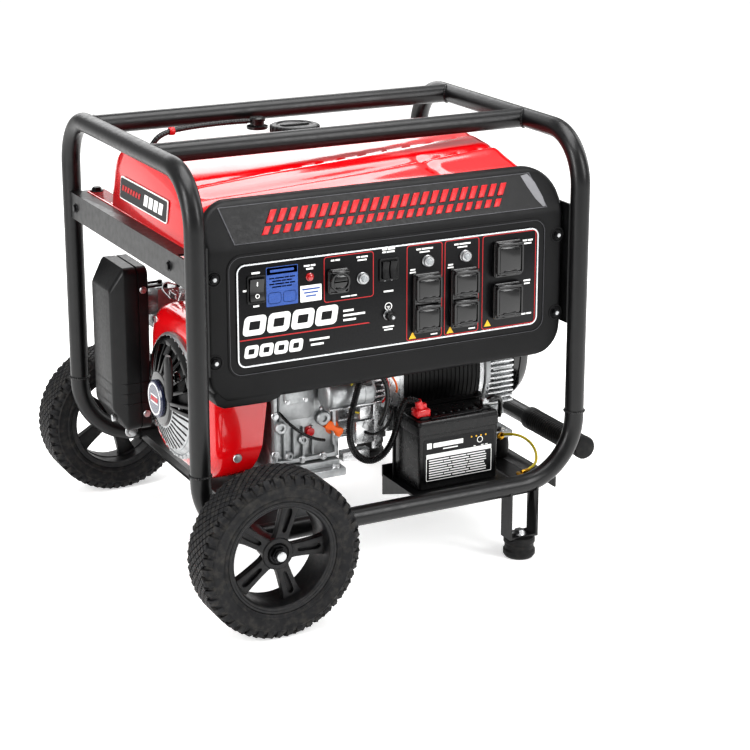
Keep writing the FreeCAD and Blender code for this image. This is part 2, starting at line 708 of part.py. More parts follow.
def build_blower():
    """Flywheel with its fan, the red shroud and the recoil starter."""
    inner_face, outer_face = -236.0, -196.0
    wheel = rod(flywheel_radius, crank_point(inner_face), crank_point(outer_face))
    blades = []
    for index in range(16):
        blade = box(inner_face - 16, inner_face, crank_y + 55, crank_y + flywheel_radius - 4,
                    crank_z - 2, crank_z + 2)
        blade.rotate(crank_point(0), AXIS_X, index * 22.5)
        blades.append(blade)
    seat = rod(crank_radius, crank_point(inner_face - 20), crank_point(outer_face + 1))
    save("flywheel", fuse([wheel] + blades).cut(seat))
    outline = [
        V(shroud_left, shroud_front, shroud_floor + 30), V(shroud_left, shroud_front, 350),
        V(shroud_left, -80, shroud_top), V(shroud_left, 70, shroud_top), V(shroud_left, shroud_back, 350),
        V(shroud_left, shroud_back, shroud_floor + 30), V(shroud_left, 80, shroud_floor),
        V(shroud_left, -90, shroud_floor),
    ]
    outer = prism(outline, AXIS_X * (crankcase_left - 1 - shroud_left))
    hollow = outer.copy()
    centre = V(shroud_left, (shroud_front + shroud_back) / 2, (shroud_floor + shroud_top) / 2)
    hollow.scale(0.98, centre)
    hollow.translate(AXIS_X * 4)
    mouth = rod(90, crank_point(shroud_left - 1), crank_point(shroud_left + 6))
    save("fan_shroud", outer.cut([hollow, mouth]))
    dish = rod(recoil_radius, crank_point(recoil_face), crank_point(shroud_left))
    rims = [edge for edge in dish.Edges if edge.Closed and edge.BoundBox.XMax < recoil_face + 1]
    dish = dish.makeFillet(14, rims)
    hollow = rod(recoil_radius - 4, crank_point(recoil_face + 4), crank_point(shroud_left))
    badge = rod(32, crank_point(recoil_face - 7), crank_point(recoil_face + 1))
    slots = []
    for index in range(16):
        angle = 22.5 * index
        slots.append(rod(3, crank_point(recoil_face - 1, 48, angle), crank_point(recoil_face - 1, 86, angle)))
    guide = rod(6, V(recoil_face - 4, -88, 338), V(recoil_face + 6, -88, 338))
    save("recoil_cover", fuse([dish.cut(hollow).cut(slots), badge, guide]))
    grip = round_edges(box(recoil_face - 17, recoil_face - 4.6, -102, -74, 300, 376), 5, AXIS_Z)
    save("recoil_grip", grip)


def build_intake():
    """Air cleaner, carburettor and its two levers."""
    case = box(-330, -264, 112, 224, 182, 470)
    long_edges = [edge for edge in case.Edges if edge.BoundBox.XMax < -329 and edge.BoundBox.YLength > 50]
    case = case.makeChamfer(22, long_edges)
    case = case.cut(box(-326, -263, 115, 221, 206, 446))
    save("air_cleaner_case", case)
    backplate = box(-264, -260, 132, 218, 300, 460)
    throat = rod(20, V(-260, 160, 392), V(-180, 160, 392))
    body = box(-238, -200, 138, 186, 345, 420)
    save("carburettor", fuse([backplate, throat, body]))
    for name, y, z in (("choke_lever", 150.0, 420.0), ("fuel_valve_lever", 175.0, 420.0)):
        pivot = rod(4, V(-220, y, z + part_gap), V(-220, y, z + 6))
        arm = box(-262 + 6, -220, y - 3, y + 3, z + 2, z + 5)
        save(name, fuse([pivot, arm]))


# ---------------------------------------------------------------- alternator
def build_alternator():
    """Adaptor, stator, rotor, end bell and end cover in a line with the crank."""
    ends = crank_point(crankcase_right), crank_point(adaptor_right)
    adaptor = ring(alternator_radius, alternator_radius - 8, *ends)
    wall = rod(alternator_radius - 4, crank_point(crankcase_right), crank_point(crankcase_right + 10))
    windows = []
    for index in range(8):
        for step in range(4):
            slot_left = crankcase_right + 20 + 16 * step
            window = box(slot_left, slot_left + 8, 0, 140, -16, 16)
            window.rotate(V(0, 0, 0), AXIS_X, 45 * index + 20)
            window.translate(crank_point(0))
            windows.append(window)
    ends = crank_point(crankcase_right - 1), crank_point(crankcase_right + 11)
    journal = rod(crank_radius + running_gap, *ends)
    save("alternator_adaptor", fuse([adaptor, wall]).cut(windows + [journal]))
    save("stator", ring(alternator_radius - 4, rotor_radius + air_gap,
                        crank_point(adaptor_right), crank_point(stator_right)))
    save("rotor", ring(rotor_radius, 12, crank_point(stator_left + 14), crank_point(stator_right - 10)))
    ends = crank_point(stator_right), crank_point(bell_right - 8)
    bell = ring(alternator_radius, alternator_radius - 8, *ends)
    end = ring(alternator_radius, 12 + running_gap, crank_point(bell_right - 8), crank_point(bell_right))
    foot = bell_foot().cut(rod(alternator_radius - 4, crank_point(250), crank_point(bell_right)))
    save("alternator_end_bell", fuse([bell, end, foot]))
    centre = V(0, cover_y, cover_z)
    drum = rod(cover_radius, centre + AXIS_X * bell_right, centre + AXIS_X * cover_right)
    rims = [edge for edge in drum.Edges if edge.Closed and edge.BoundBox.XMin > cover_right - 1]
    drum = drum.makeFillet(12, rims)
    hollow = rod(cover_radius - 3, centre + AXIS_X * bell_right, centre + AXIS_X * (cover_right - 14))
    save("alternator_end_cover", drum.cut(hollow))


def bell_foot():
    """Cross bar under the end bell, which stands on the isolators."""
    reach = bell_foot_half
    return box(252, 288, crank_y - reach, crank_y + reach, bell_foot_floor, bell_foot_top)


# ---------------------------------------------------------------- battery
def build_battery():
    """Battery with its tray, hold-down, leads and earth wire."""
    case = box(battery_left, battery_right, battery_front, battery_back, battery_floor, battery_top)
    case = round_edges(case, 4, AXIS_Z)
    posts = [
        box(x - 8, x + 8, battery_front + 18, battery_front + 34, battery_top, battery_top + 14)
        for x in (battery_left + 20, battery_right - 14)
    ]
    save("battery", case, *posts)
    tray_floor = battery_floor - tray_thickness
    plate = box(tray_left, tray_right, -half_width + tube_radius - 6, battery_back + 14,
                tray_floor, battery_floor)
    lip = box(tray_left, tray_right, battery_back + 10, battery_back + 14, battery_floor, battery_floor + 16)
    gusset_points = [
        V(tray_left, battery_back + 12, tray_floor),
        V(tray_left, battery_back + 12, gusset_floor),
        V(tray_left, battery_front + 10, tray_floor),
    ]
    gusset = prism(gusset_points, AXIS_X * tray_thickness)
    ends = V(tray_left - 1, -half_width, rail_height), V(tray_right + 1, -half_width, rail_height)
    rail = rod(tube_radius, *ends)
    save("battery_tray", fuse([plate, lip, gusset]).cut(rail))
    strap_y = battery_back - 12
    strap = box(battery_left - 8, battery_right + 8, strap_y - 8, strap_y + 8, battery_top, battery_top + 3)
    rods = [
        rod(3, V(x, strap_y, battery_floor), V(x, strap_y, battery_top))
        for x in (battery_left - 4, battery_right + 4)
    ]
    save("battery_hold_down", fuse([strap] + rods))
    run_y = battery_front + 36
    lead = [
        V(-14, run_y + 4, 341), V(-30, run_y, 300), V(-44, run_y, 255), V(-42, run_y, 208),
        V(-10, run_y + 2, 176),
        V(26, run_y + 4, 184), V(46, run_y + 4, 222), V(50, run_y + 2, 262), V(64, run_y - 2, 284),
        V(80, run_y - 10, 272),
    ]
    save("battery_lead", bar_along(lead, cable_radii("battery lead", lead), lead_radius))
    tray_y = battery_front - 5
    resting = member_top + earth_radius
    earth = [
        V(262, crank_y - bell_foot_half + 2, 172), V(272, tray_y + 47, 184), V(298, tray_y + 36, 172),
        V(306, tray_y + 20, 146), V(290, tray_y + 4, resting + 2), V(262, tray_y, resting),
    ]
    wire = bar_along(earth, cable_radii("earth wire", earth), earth_radius)
    save("earth_wire", wire.cut(bell_foot()))


# ---------------------------------------------------------------- handle
def build_handle():
    """Handle tube hinged at the back right corner, with its rubber grip."""
    start = V(handle_x, handle_hinge_y + 14, handle_z)
    end = V(handle_x, handle_end_y + 6, handle_z)
    tube = ring(tube_radius, tube_radius - tube_wall, start, end)
    eye = rod(tube_radius - tube_wall, start, V(handle_x, handle_hinge_y - 14, handle_z))
    pin = rod(hinge_pin_radius + running_gap, V(handle_x, handle_hinge_y, handle_z - 40),
              V(handle_x, handle_hinge_y, handle_z + 40))
    save("handle_tube", fuse([tube, eye]).cut(pin))
    grip = rod(grip_radius, V(handle_x, handle_end_y, handle_z), V(handle_x, grip_start_y, handle_z))
    grip = grip.makeFillet(5, [edge for edge in grip.Edges if edge.Closed])
    save("handle_grip", grip.cut(rod(tube_radius, end, V(handle_x, grip_start_y, handle_z))))


os.makedirs("parts", exist_ok=True)
build_frame()
build_bolts()
build_feet()
build_wheels()
build_tank()
build_console()
build_engine()
build_alternator()
build_battery()
build_handle()
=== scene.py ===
"""Looks of an open-frame portable generator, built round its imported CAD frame.

Meshes are laid out in millimetres from the middle of the tube frame at ground level:
+X runs along the console towards the alternator, -Y is the console side and +Z is up.
"""

import logging
import math
from dataclasses import dataclass
from enum import Enum
from typing import Sequence

import bmesh
import bpy
from mathutils import Matrix, Vector


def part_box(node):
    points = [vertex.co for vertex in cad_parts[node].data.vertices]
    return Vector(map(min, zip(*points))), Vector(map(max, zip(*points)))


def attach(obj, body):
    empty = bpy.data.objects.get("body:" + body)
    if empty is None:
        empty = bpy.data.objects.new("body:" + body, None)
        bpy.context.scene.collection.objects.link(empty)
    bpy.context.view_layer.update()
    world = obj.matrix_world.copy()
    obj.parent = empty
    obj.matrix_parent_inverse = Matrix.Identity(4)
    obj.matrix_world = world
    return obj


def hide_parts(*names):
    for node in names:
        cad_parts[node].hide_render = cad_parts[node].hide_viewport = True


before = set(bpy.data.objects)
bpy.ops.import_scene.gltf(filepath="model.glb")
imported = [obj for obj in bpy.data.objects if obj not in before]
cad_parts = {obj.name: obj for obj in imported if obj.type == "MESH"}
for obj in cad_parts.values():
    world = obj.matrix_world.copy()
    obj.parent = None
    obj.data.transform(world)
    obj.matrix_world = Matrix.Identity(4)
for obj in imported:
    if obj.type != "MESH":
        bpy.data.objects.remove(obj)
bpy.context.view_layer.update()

LOG = logging.getLogger("generator")
MM = 0.001
RELIEF_REACH = 0.4 * MM
ROOT = "chassis"
LEFT_HOOP, RIGHT_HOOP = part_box("end_hoop_left"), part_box("end_hoop_right")
MIDDLE = Vector(((LEFT_HOOP[0].x + RIGHT_HOOP[1].x) / 2, 0.0, 0.0))
TO_ROW = Matrix.Translation(MIDDLE) @ Matrix.Scale(MM, 4)

Flat = tuple[float, float]
Ring = list[Vector]
X, Y, Z = Vector((1, 0, 0)), Vector((0, 1, 0)), Vector((0, 0, 1))


def node_box(node: str) -> tuple[Vector, Vector]:
    """Gives a CAD node's box in millimetres from the middle of the tube frame.

    Args:
        node: Name of the CAD node.

    Returns:
        Its lowest and highest corner.
    """
    low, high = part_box(node)
    return (low - MIDDLE) / MM, (high - MIDDLE) / MM


# ------------------------------------------------------------------ finishes
def linear(hex_colour: str) -> tuple[float, float, float, float]:
    """Turns an sRGB hex colour into linear RGBA.

    Args:
        hex_colour: Colour such as "#c8102e".

    Returns:
        Linear red, green, blue and an alpha of one.
    """
    channels = []
    for start in (1, 3, 5):
        value = int(hex_colour[start:start + 2], 16) / 255
        channels.append(value / 12.92 if value <= 0.04045 else ((value + 0.055) / 1.055) ** 2.4)
    return (channels[0], channels[1], channels[2], 1.0)


def add_node(tree: bpy.types.NodeTree, kind: str, settings: dict | None = None,
             inputs: dict | None = None) -> bpy.types.Node:
    """Adds a node with its settings, values and links.

    Args:
        tree: Node tree that takes the node.
        kind: Node type's name.
        settings: Attribute name to value.
        inputs: Input name or index to a value, or to the output socket that feeds it.

    Returns:
        The new node.
    """
    node = tree.nodes.new(kind)
    for name, value in (settings or {}).items():
        setattr(node, name, value)
    for key, value in (inputs or {}).items():
        if isinstance(value, bpy.types.NodeSocket):
            tree.links.new(value, node.inputs[key])
        else:
            node.inputs[key].default_value = value
    return node


class Surface(Enum):
    """How a surface was made, which sets its fine relief."""

    SMOOTH = "smooth"
    ORANGE_PEEL = "orange peel"
    SPARK_ERODED = "spark eroded"
    CAST = "cast"
    BRUSHED = "brushed"
    TURNED = "turned"
    RUBBED = "rubbed"


@dataclass(frozen=True)
class Finish:
    """A real material and how it was made.

    Colours are sRGB hex values. relief_mm is the real width of one grain of the relief and
    relief_depth its strength, cloud_mm the width of the faint colour patches, and dust the share
    of pale dust that gathers on it.
    """

    name: str
    colour: str
    slot: str
    second: str = ""
    metallic: float = 0.0
    roughness: float = 0.5
    spread: float = 0.08
    coat: float = 0.0
    surface: Surface = Surface.SMOOTH
    relief_mm: float = 1.0
    relief_depth: float = 0.1
    cloud_mm: float = 60.0
    cloud: float = 0.25
    dust: float = 0.0
    transmission: float = 0.0
    specular: float = 0.5

    def material(self) -> bpy.types.Material:
        """Gives the Blender material, made on first use."""
        known = bpy.data.materials.get(self.name)
        return known if known else self._build()

    def _noise(self, tree: bpy.types.NodeTree, place: bpy.types.NodeSocket, width_mm: float,
               detail: float = 3.0) -> bpy.types.NodeSocket:
        """Noise whose patches have a real width.

        Args:
            tree: The material's node tree.
            place: Object coordinates.
            width_mm: Width of one patch.
            detail: Octaves of finer noise.

        Returns:
            The factor socket.
        """
        scale = 1 / (width_mm * MM)
        noise = add_node(tree, "ShaderNodeTexNoise", {}, {"Vector": place, "Scale": scale, "Detail": detail})
        return noise.outputs["Fac"]

    def _relief(self, tree: bpy.types.NodeTree, place: bpy.types.NodeSocket) -> bpy.types.NodeSocket:
        """Height of the fine relief that the making left.

        Args:
            tree: The material's node tree.
            place: Object coordinates.

        Returns:
            The height socket.
        """
        stretch = {Surface.BRUSHED: (1.0, 14.0, 14.0), Surface.TURNED: (14.0, 1.0, 1.0)}
        if self.surface in stretch:
            turned = add_node(tree, "ShaderNodeMapping", {},
                              {"Vector": place, "Scale": stretch[self.surface]})
            place = turned.outputs["Vector"]
        if self.surface in (Surface.CAST, Surface.SPARK_ERODED):
            cells = add_node(tree, "ShaderNodeTexVoronoi", {"feature": "SMOOTH_F1"},
                             {"Vector": place, "Scale": 1 / (self.relief_mm * MM)})
            return cells.outputs["Distance"]
        return self._noise(tree, place, self.relief_mm, 4.0)

    def _tint(self, tree: bpy.types.NodeTree, place: bpy.types.NodeSocket) -> bpy.types.NodeSocket:
        """Colour with its faint patches and its dust.

        Args:
            tree: The material's node tree.
            place: Object coordinates.

        Returns:
            The colour socket.
        """
        base = linear(self.colour)
        second = linear(self.second) if self.second else tuple(min(1.0, c * 0.7) for c in base[:3]) + (1.0,)
        patches = self._noise(tree, place, self.cloud_mm)
        ramp = add_node(tree, "ShaderNodeMapRange", {}, {"Value": patches, "From Min": 0.4, "From Max": 0.75,
                                                          "To Min": 0.0, "To Max": self.cloud})
        mix = add_node(tree, "ShaderNodeMix", {"data_type": "RGBA"},
                       {0: ramp.outputs["Result"], 6: base, 7: second})
        if not self.dust:
            return mix.outputs[2]
        specks = self._noise(tree, place, 9.0, 6.0)
        level = add_node(tree, "ShaderNodeMapRange", {}, {"Value": specks, "From Min": 0.45, "From Max": 0.8,
                                                           "To Min": 0.0, "To Max": self.dust})
        dusty = add_node(tree, "ShaderNodeMix", {"data_type": "RGBA"},
                         {0: level.outputs["Result"], 6: mix.outputs[2], 7: linear("#8d8678")})
        return dusty.outputs[2]

    def _build(self) -> bpy.types.Material:
        """Builds the node tree.

        Returns:
            The material.
        """
        material = bpy.data.materials.new(self.name)
        material.use_nodes = True
        tree = material.node_tree
        shader = tree.nodes["Principled BSDF"]
        place = add_node(tree, "ShaderNodeTexCoord").outputs["Object"]
        tree.links.new(self._tint(tree, place), shader.inputs["Base Color"])
        wear = self._noise(tree, place, self.cloud_mm / 4, 5.0)
        rough = add_node(tree, "ShaderNodeMapRange", {}, {
            "Value": wear, "From Min": 0.3, "From Max": 0.7,
            "To Min": max(0.02, self.roughness - self.spread), "To Max": self.roughness + self.spread})
        tree.links.new(rough.outputs["Result"], shader.inputs["Roughness"])
        shader.inputs["Metallic"].default_value = self.metallic
        shader.inputs["Coat Weight"].default_value = self.coat
        shader.inputs["Coat Roughness"].default_value = 0.06
        shader.inputs["Transmission Weight"].default_value = self.transmission
        shader.inputs["Specular IOR Level"].default_value = self.specular
        if self.surface is not Surface.SMOOTH:
            bump = add_node(tree, "ShaderNodeBump", {}, {
                "Height": self._relief(tree, place), "Strength": self.relief_depth, "Distance": RELIEF_REACH})
            tree.links.new(bump.outputs["Normal"], shader.inputs["Normal"])
        return material


# Powder coat on steel: satin black with the faint orange peel of the cured powder.
POWDER_COAT = Finish("powder_coated_steel", "#0b0b0c", "frame_paint", "#121213", specular=0.42,
                     roughness=0.34, spread=0.05,
                     surface=Surface.ORANGE_PEEL, relief_mm=2.2, relief_depth=0.22, cloud_mm=45, cloud=0.6)
# Zinc plate, bright and a little cloudy where it was handled.
ZINC = Finish("zinc_plated_steel", "#b9babb", "zinc", "#8a8b8c", metallic=1.0, roughness=0.32, spread=0.1,
              surface=Surface.RUBBED, relief_mm=1.5, relief_depth=0.15, cloud_mm=6, cloud=0.5)
# Black oxide on steel bolts: dark, with a dull metal gleam.
BLACK_OXIDE = Finish("black_oxide_steel", "#232324", "frame_paint", "#111112", metallic=0.85, roughness=0.36,
                     surface=Surface.RUBBED, relief_mm=1.0, relief_depth=0.12, cloud_mm=5, cloud=0.5)
# Stoved enamel on pressed steel: deep red with a clear gloss on top.
RED_ENAMEL = Finish("red_stoved_enamel", "#d0000d", "tank_paint", "#c00009", roughness=0.2, spread=0.04,
                    coat=1.0,
                    surface=Surface.ORANGE_PEEL, relief_mm=5.0, relief_depth=0.035, cloud_mm=120, cloud=0.5)
# Same enamel on the fan shroud, over a rougher pressing.
SHROUD_ENAMEL = Finish("red_shroud_enamel", "#d4000e", "shroud_paint", "#bf000b", roughness=0.22,
                       spread=0.05, coat=1.0,
                       surface=Surface.ORANGE_PEEL, relief_mm=4.0, relief_depth=0.05, cloud_mm=80, cloud=0.5)
# ABS from a spark-eroded mould: charcoal with a fine even grain that scatters the light.
GRAINED_ABS = Finish("grained_abs", "#0f0f10", "black_plastic", "#161617", specular=0.22, roughness=0.46,
                     spread=0.05,
                     surface=Surface.SPARK_ERODED, relief_mm=0.9, relief_depth=0.30, cloud_mm=70, cloud=0.6)
# The same ABS, scuffed grey where the mould was left coarse.
GREY_ABS = Finish("coarse_grey_abs", "#77777a", "black_plastic", "#68686b", roughness=0.6, spread=0.05,
                  surface=Surface.SPARK_ERODED, relief_mm=1.4, relief_depth=0.5, cloud_mm=20, cloud=0.5)
# Polished nylon from a smooth mould: near black, with a soft wet shine.
GLOSS_NYLON = Finish("gloss_black_nylon", "#060607", "gloss_black", "#0c0c0d", specular=0.45,
                     roughness=0.16, spread=0.05, coat=0.4,
                     surface=Surface.ORANGE_PEEL, relief_mm=6.0, relief_depth=0.05, cloud_mm=30, cloud=0.5)
# Unfilled nylon for covers and knobs: black, satin.
SATIN_NYLON = Finish("satin_black_nylon", "#0c0c0d", "black_plastic", "#151516", specular=0.3,
                     roughness=0.36, spread=0.06,
                     surface=Surface.SPARK_ERODED, relief_mm=1.1, relief_depth=0.12, cloud_mm=25, cloud=0.6)
# Polypropylene wheel rims, dull charcoal with a moulded skin.
RIM_PLASTIC = Finish("moulded_rim_polypropylene", "#131315", "rim_plastic", "#1c1c1e", specular=0.3,
                     roughness=0.42, spread=0.08,
                     surface=Surface.SPARK_ERODED, relief_mm=1.3, relief_depth=0.16, cloud_mm=30, cloud=0.7,
                     dust=0.05)
# Vulcanised tyre rubber: charcoal, matt, with a little dust in it.
TYRE_RUBBER = Finish("vulcanised_tyre_rubber", "#141416", "tyre", "#1e1e20", specular=0.25, roughness=0.62,
                     spread=0.1,
                     surface=Surface.RUBBED, relief_mm=1.6, relief_depth=0.3, cloud_mm=35, cloud=0.7,
                     dust=0.10)
# Moulded rubber for feet, mounts and the grip.
SOFT_RUBBER = Finish("moulded_rubber", "#0c0c0d", "rubber", "#161617", specular=0.25, roughness=0.55,
                     spread=0.08,
                     surface=Surface.RUBBED, relief_mm=1.2, relief_depth=0.25, cloud_mm=18, cloud=0.6,
                     dust=0.04)
# Pressure die-cast aluminium as it leaves the mould: grey, grainy, darker in the hollows.
DIE_CAST = Finish("die_cast_aluminium", "#b2b4b5", "cast_aluminium", "#7d7f80", metallic=0.75, roughness=0.42,
                  spread=0.1, surface=Surface.CAST, relief_mm=1.8, relief_depth=0.35, cloud_mm=22, cloud=0.6)
# Linished aluminium on fins and end bells: brighter, with a fine one-way grain.
LINISHED = Finish("linished_aluminium", "#d2d3d4", "cast_aluminium", "#a7a8a9", metallic=0.95, roughness=0.3,
                  spread=0.08, surface=Surface.BRUSHED, relief_mm=0.9, relief_depth=0.15, cloud_mm=15,
                  cloud=0.5)
# Heat-tinted muffler steel, brown where it runs hottest.
MUFFLER_STEEL = Finish("heat_tinted_steel", "#8b8782", "muffler_steel", "#5d4a3c", metallic=1.0,
                       roughness=0.44,
                       surface=Surface.BRUSHED, relief_mm=1.0, relief_depth=0.2, cloud_mm=35, cloud=0.9)
# Varnished stator laminations, black; the same near-black is also used as painted shade in the recoil cover's
# hollow and slots.
STATOR_BLACK_AND_SHADE = Finish("varnished_laminations_and_painted_shade", "#070708", "stator_steel", "#0f0f10", specular=0.4,
                      metallic=0.3, roughness=0.38,
                      surface=Surface.TURNED, relief_mm=0.8, relief_depth=0.3, cloud_mm=20, cloud=0.6)
# Ground shaft steel.
GROUND_STEEL = Finish("ground_shaft_steel", "#a6a8aa", "shaft_steel", "#7e8082", metallic=1.0, roughness=0.25,
                      surface=Surface.TURNED, relief_mm=0.6, relief_depth=0.12, cloud_mm=12, cloud=0.5)
# Grey line on the moulding's thin raised edges and steps: a painted highlight where those edges catch the
# light.
PAINTED_EDGE_HIGHLIGHT = Finish("painted_edge_highlight", "#4c4c50", "black_plastic", "#3c3c3f", roughness=0.4, spread=0.05,
                   surface=Surface.RUBBED, relief_mm=1.0, relief_depth=0.1, cloud_mm=12, cloud=0.8)
# Screen-printed polycarbonate over the controls: black with the sheen of film.
OVERLAY_FILM = Finish("printed_overlay_film", "#08080a", "plate", "#121214", specular=0.25, roughness=0.3,
                      spread=0.03,
                      surface=Surface.SPARK_ERODED, relief_mm=1.6, relief_depth=0.10, cloud_mm=3.0, cloud=1.0)
# Screen-printed ink: flat white with a slight tooth.
WHITE_INK = Finish("white_screen_ink", "#f2f2f0", "plate", "#e2e2df", roughness=0.5, cloud_mm=8, cloud=0.4,
                   surface=Surface.RUBBED, relief_mm=1.0, relief_depth=0.05)
# The same ink in red, for the outlines round the controls.
RED_INK = Finish("red_screen_ink", "#b5161c", "plate", "#8f1015", roughness=0.45, cloud_mm=8, cloud=0.4,
                 surface=Surface.RUBBED, relief_mm=1.0, relief_depth=0.05)
# Blue vinyl label film, satin.
BLUE_INK = Finish("blue_label_film", "#27509a", "plate", "#1b3d80", roughness=0.35, cloud_mm=14, cloud=0.5,
                  surface=Surface.RUBBED, relief_mm=1.0, relief_depth=0.05)
# Yellow ink on the labels.
YELLOW_INK = Finish("yellow_screen_ink", "#e5b51d", "plate", "#c99a12", roughness=0.45, cloud_mm=6, cloud=0.4,
                    surface=Surface.RUBBED, relief_mm=1.0, relief_depth=0.05)
# Hot-stamped silver outline, a thin bright foil.
SILVER_FOIL = Finish("hot_stamped_foil", "#cfd1d3", "plate", "#aeb0b2", metallic=1.0, roughness=0.3,
                     surface=Surface.BRUSHED, relief_mm=1.0, relief_depth=0.1, cloud_mm=10, cloud=0.4)
# Raised badge strip in painted ABS, satin red.
BADGE_RED = Finish("satin_red_abs", "#b80a14", "black_plastic", "#9c0810", roughness=0.4, cloud_mm=20,
                   cloud=0.5,
                   surface=Surface.SPARK_ERODED, relief_mm=0.9, relief_depth=0.15)
# Navy film on the recoil badge, under a thin clear layer.
BADGE_NAVY = Finish("navy_badge_film", "#1d2440", "gloss_black", "#151a30", roughness=0.25, coat=0.5,
                    cloud_mm=14,
                    surface=Surface.RUBBED, relief_mm=1.0, relief_depth=0.04)
# Clear polycarbonate over a breaker button.
CLEAR_CAP = Finish("clear_polycarbonate", "#dfe3e5", "black_plastic", "#c8cdd0", roughness=0.12,
                   transmission=0.6,
                   surface=Surface.RUBBED, relief_mm=2.0, relief_depth=0.05, cloud_mm=6, cloud=0.4)
# Red acrylic lens: glossy, a little uneven inside.
LAMP_RED = Finish("red_acrylic_lens", "#a8060c", "lamp", "#6e0306", roughness=0.1, coat=1.0, cloud_mm=4,
                  cloud=0.6,
                  surface=Surface.RUBBED, relief_mm=2.0, relief_depth=0.05)
# Injection-moulded polypropylene: near black, with a waxy sheen.
BATTERY_CASE = Finish("battery_polypropylene", "#0b0b0c", "battery_case", "#121213", specular=0.35,
                      roughness=0.3, spread=0.06,
                      surface=Surface.SPARK_ERODED, relief_mm=1.0, relief_depth=0.12, cloud_mm=35, cloud=0.6)
# Soft dipped vinyl on the battery post, slightly glossy.
RED_BOOT = Finish("red_terminal_vinyl", "#c9121a", "lamp", "#a30d14", roughness=0.3, coat=0.3, cloud_mm=8,
                  cloud=0.5,
                  surface=Surface.RUBBED, relief_mm=1.6, relief_depth=0.12)
# Extruded PVC sleeve: black, with a long soft highlight.
CABLE_BLACK = Finish("black_pvc_sleeve", "#070708", "cable_black", "#101011", specular=0.45, roughness=0.3,
                     spread=0.08,
                     surface=Surface.RUBBED, relief_mm=2.0, relief_depth=0.2, cloud_mm=9, cloud=0.6)
# Extruded PVC in yellow that drifts to green.
EARTH_YELLOW = Finish("yellow_green_pvc", "#c9b21b", "cable_earth", "#a6a020", roughness=0.32,
                      surface=Surface.RUBBED, relief_mm=2.0, relief_depth=0.1, cloud_mm=7, cloud=0.7)
# Moulded nylon in signal orange, satin.
ORANGE_NYLON = Finish("orange_nylon", "#ee6a12", "orange_plastic", "#d2560b", roughness=0.34, cloud_mm=9,
                      cloud=0.5,
                      surface=Surface.SPARK_ERODED, relief_mm=1.0, relief_depth=0.15)
# Stamped brass lugs, bright with a little tarnish.
BRASS = Finish("stamped_brass", "#c79a3a", "zinc", "#9a7427", metallic=1.0, roughness=0.3,
               surface=Surface.RUBBED, relief_mm=1.0, relief_depth=0.1, cloud_mm=4, cloud=0.5)


# ------------------------------------------------------------------ mesh work
def rounded(width: float, height: float, radius: float, centre: Flat = (0.0, 0.0),
            steps: int = 6) -> list[Flat]:
    """Outline of a rectangle with round corners, anticlockwise.

    Args:
        width: Size along the first axis.
        height: Size along the second axis.
        radius: Corner radius.
        centre: Middle of the rectangle.
        steps: Chords in each corner.

    Returns:
        The outline's points.
    """
    outline = []
    for quarter, (side_u, side_v) in enumerate(((1, 1), (-1, 1), (-1, -1), (1, -1))):
        corner_u = centre[0] + side_u * (width / 2 - radius)
        corner_v = centre[1] + side_v * (height / 2 - radius)
        for step in range(steps + 1):
            angle = math.pi / 2 * (quarter + step / steps)
            outline.append((corner_u + radius * math.cos(angle), corner_v + radius * math.sin(angle)))
    return outline


def circle(radius: float, centre: Flat = (0.0, 0.0), steps: int = 32) -> list[Flat]:
    """Outline of a circle, anticlockwise."""
    turns = [2 * math.pi * step / steps for step in range(steps)]
    return [(centre[0] + radius * math.cos(turn), centre[1] + radius * math.sin(turn)) for turn in turns]


def smooth_line(points: Sequence[Sequence[float]], steps: int = 5) -> list[Vector]:
    """Points of a smooth open line through the given ones.

    Args:
        points: Points that the line passes.
        steps: Chords between two given points.

    Returns:
        The line's points.
    """
    knots = [Vector(point) for point in points]
    knots = [knots[0] * 2 - knots[1]] + knots + [knots[-1] * 2 - knots[-2]]
    line = []
    for index in range(1, len(knots) - 2):
        before, start, end, after = knots[index - 1:index + 3]
        for step in range(steps):
            t = step / steps
            line.append(0.5 * ((2 * start) + (end - before) * t
                               + (2 * before - 5 * start + 4 * end - after) * t ** 2
                               + (3 * start - before - 3 * end + after) * t ** 3))
    line.append(knots[-2])
    return line


def lift(point: Flat, axis: str, level: float) -> Vector:
    """Puts a flat point into space, at a level along an axis."""
    u, v = point
    return {"x": Vector((level, u, v)), "y": Vector((u, level, v)), "z": Vector((u, v, level))}[axis]


def soften(form: bmesh.types.BMesh, width: float, segments: int = 2, angle: float = 30.0) -> None:
    """Rounds the edges where two faces meet at more than an angle.

    Args:
        form: Mesh to change.
        width: Width of the round.
        segments: Faces across it.
        angle: Least angle between the faces, in degrees.
    """
    sharp = [e for e in form.edges if len(e.link_faces) == 2 and e.calc_face_angle(0) > math.radians(angle)]
    if width > 0 and sharp:
        bmesh.ops.bevel(form, geom=sharp, offset=width, segments=segments, profile=0.5, affect="EDGES",
                        clamp_overlap=True)


def loft(rings: Sequence[Ring], capped: bool = True) -> bmesh.types.BMesh:
    """Skin over rings with the same number of points.

    Args:
        rings: Closed rings, in order.
        capped: Whether the first and last ring are filled.

    Returns:
        The mesh, faces outwards.
    """
    form = bmesh.new()
    rows = [[form.verts.new(point) for point in ring] for ring in rings]
    count = len(rings[0])
    for low, high in zip(rows, rows[1:]):
        for index in range(count):
            after = (index + 1) % count
            form.faces.new((low[index], low[after], high[after], high[index]))
    if capped:
        form.faces.new(rows[0])
        form.faces.new(rows[-1])
    bmesh.ops.recalc_face_normals(form, faces=form.faces)
    return form


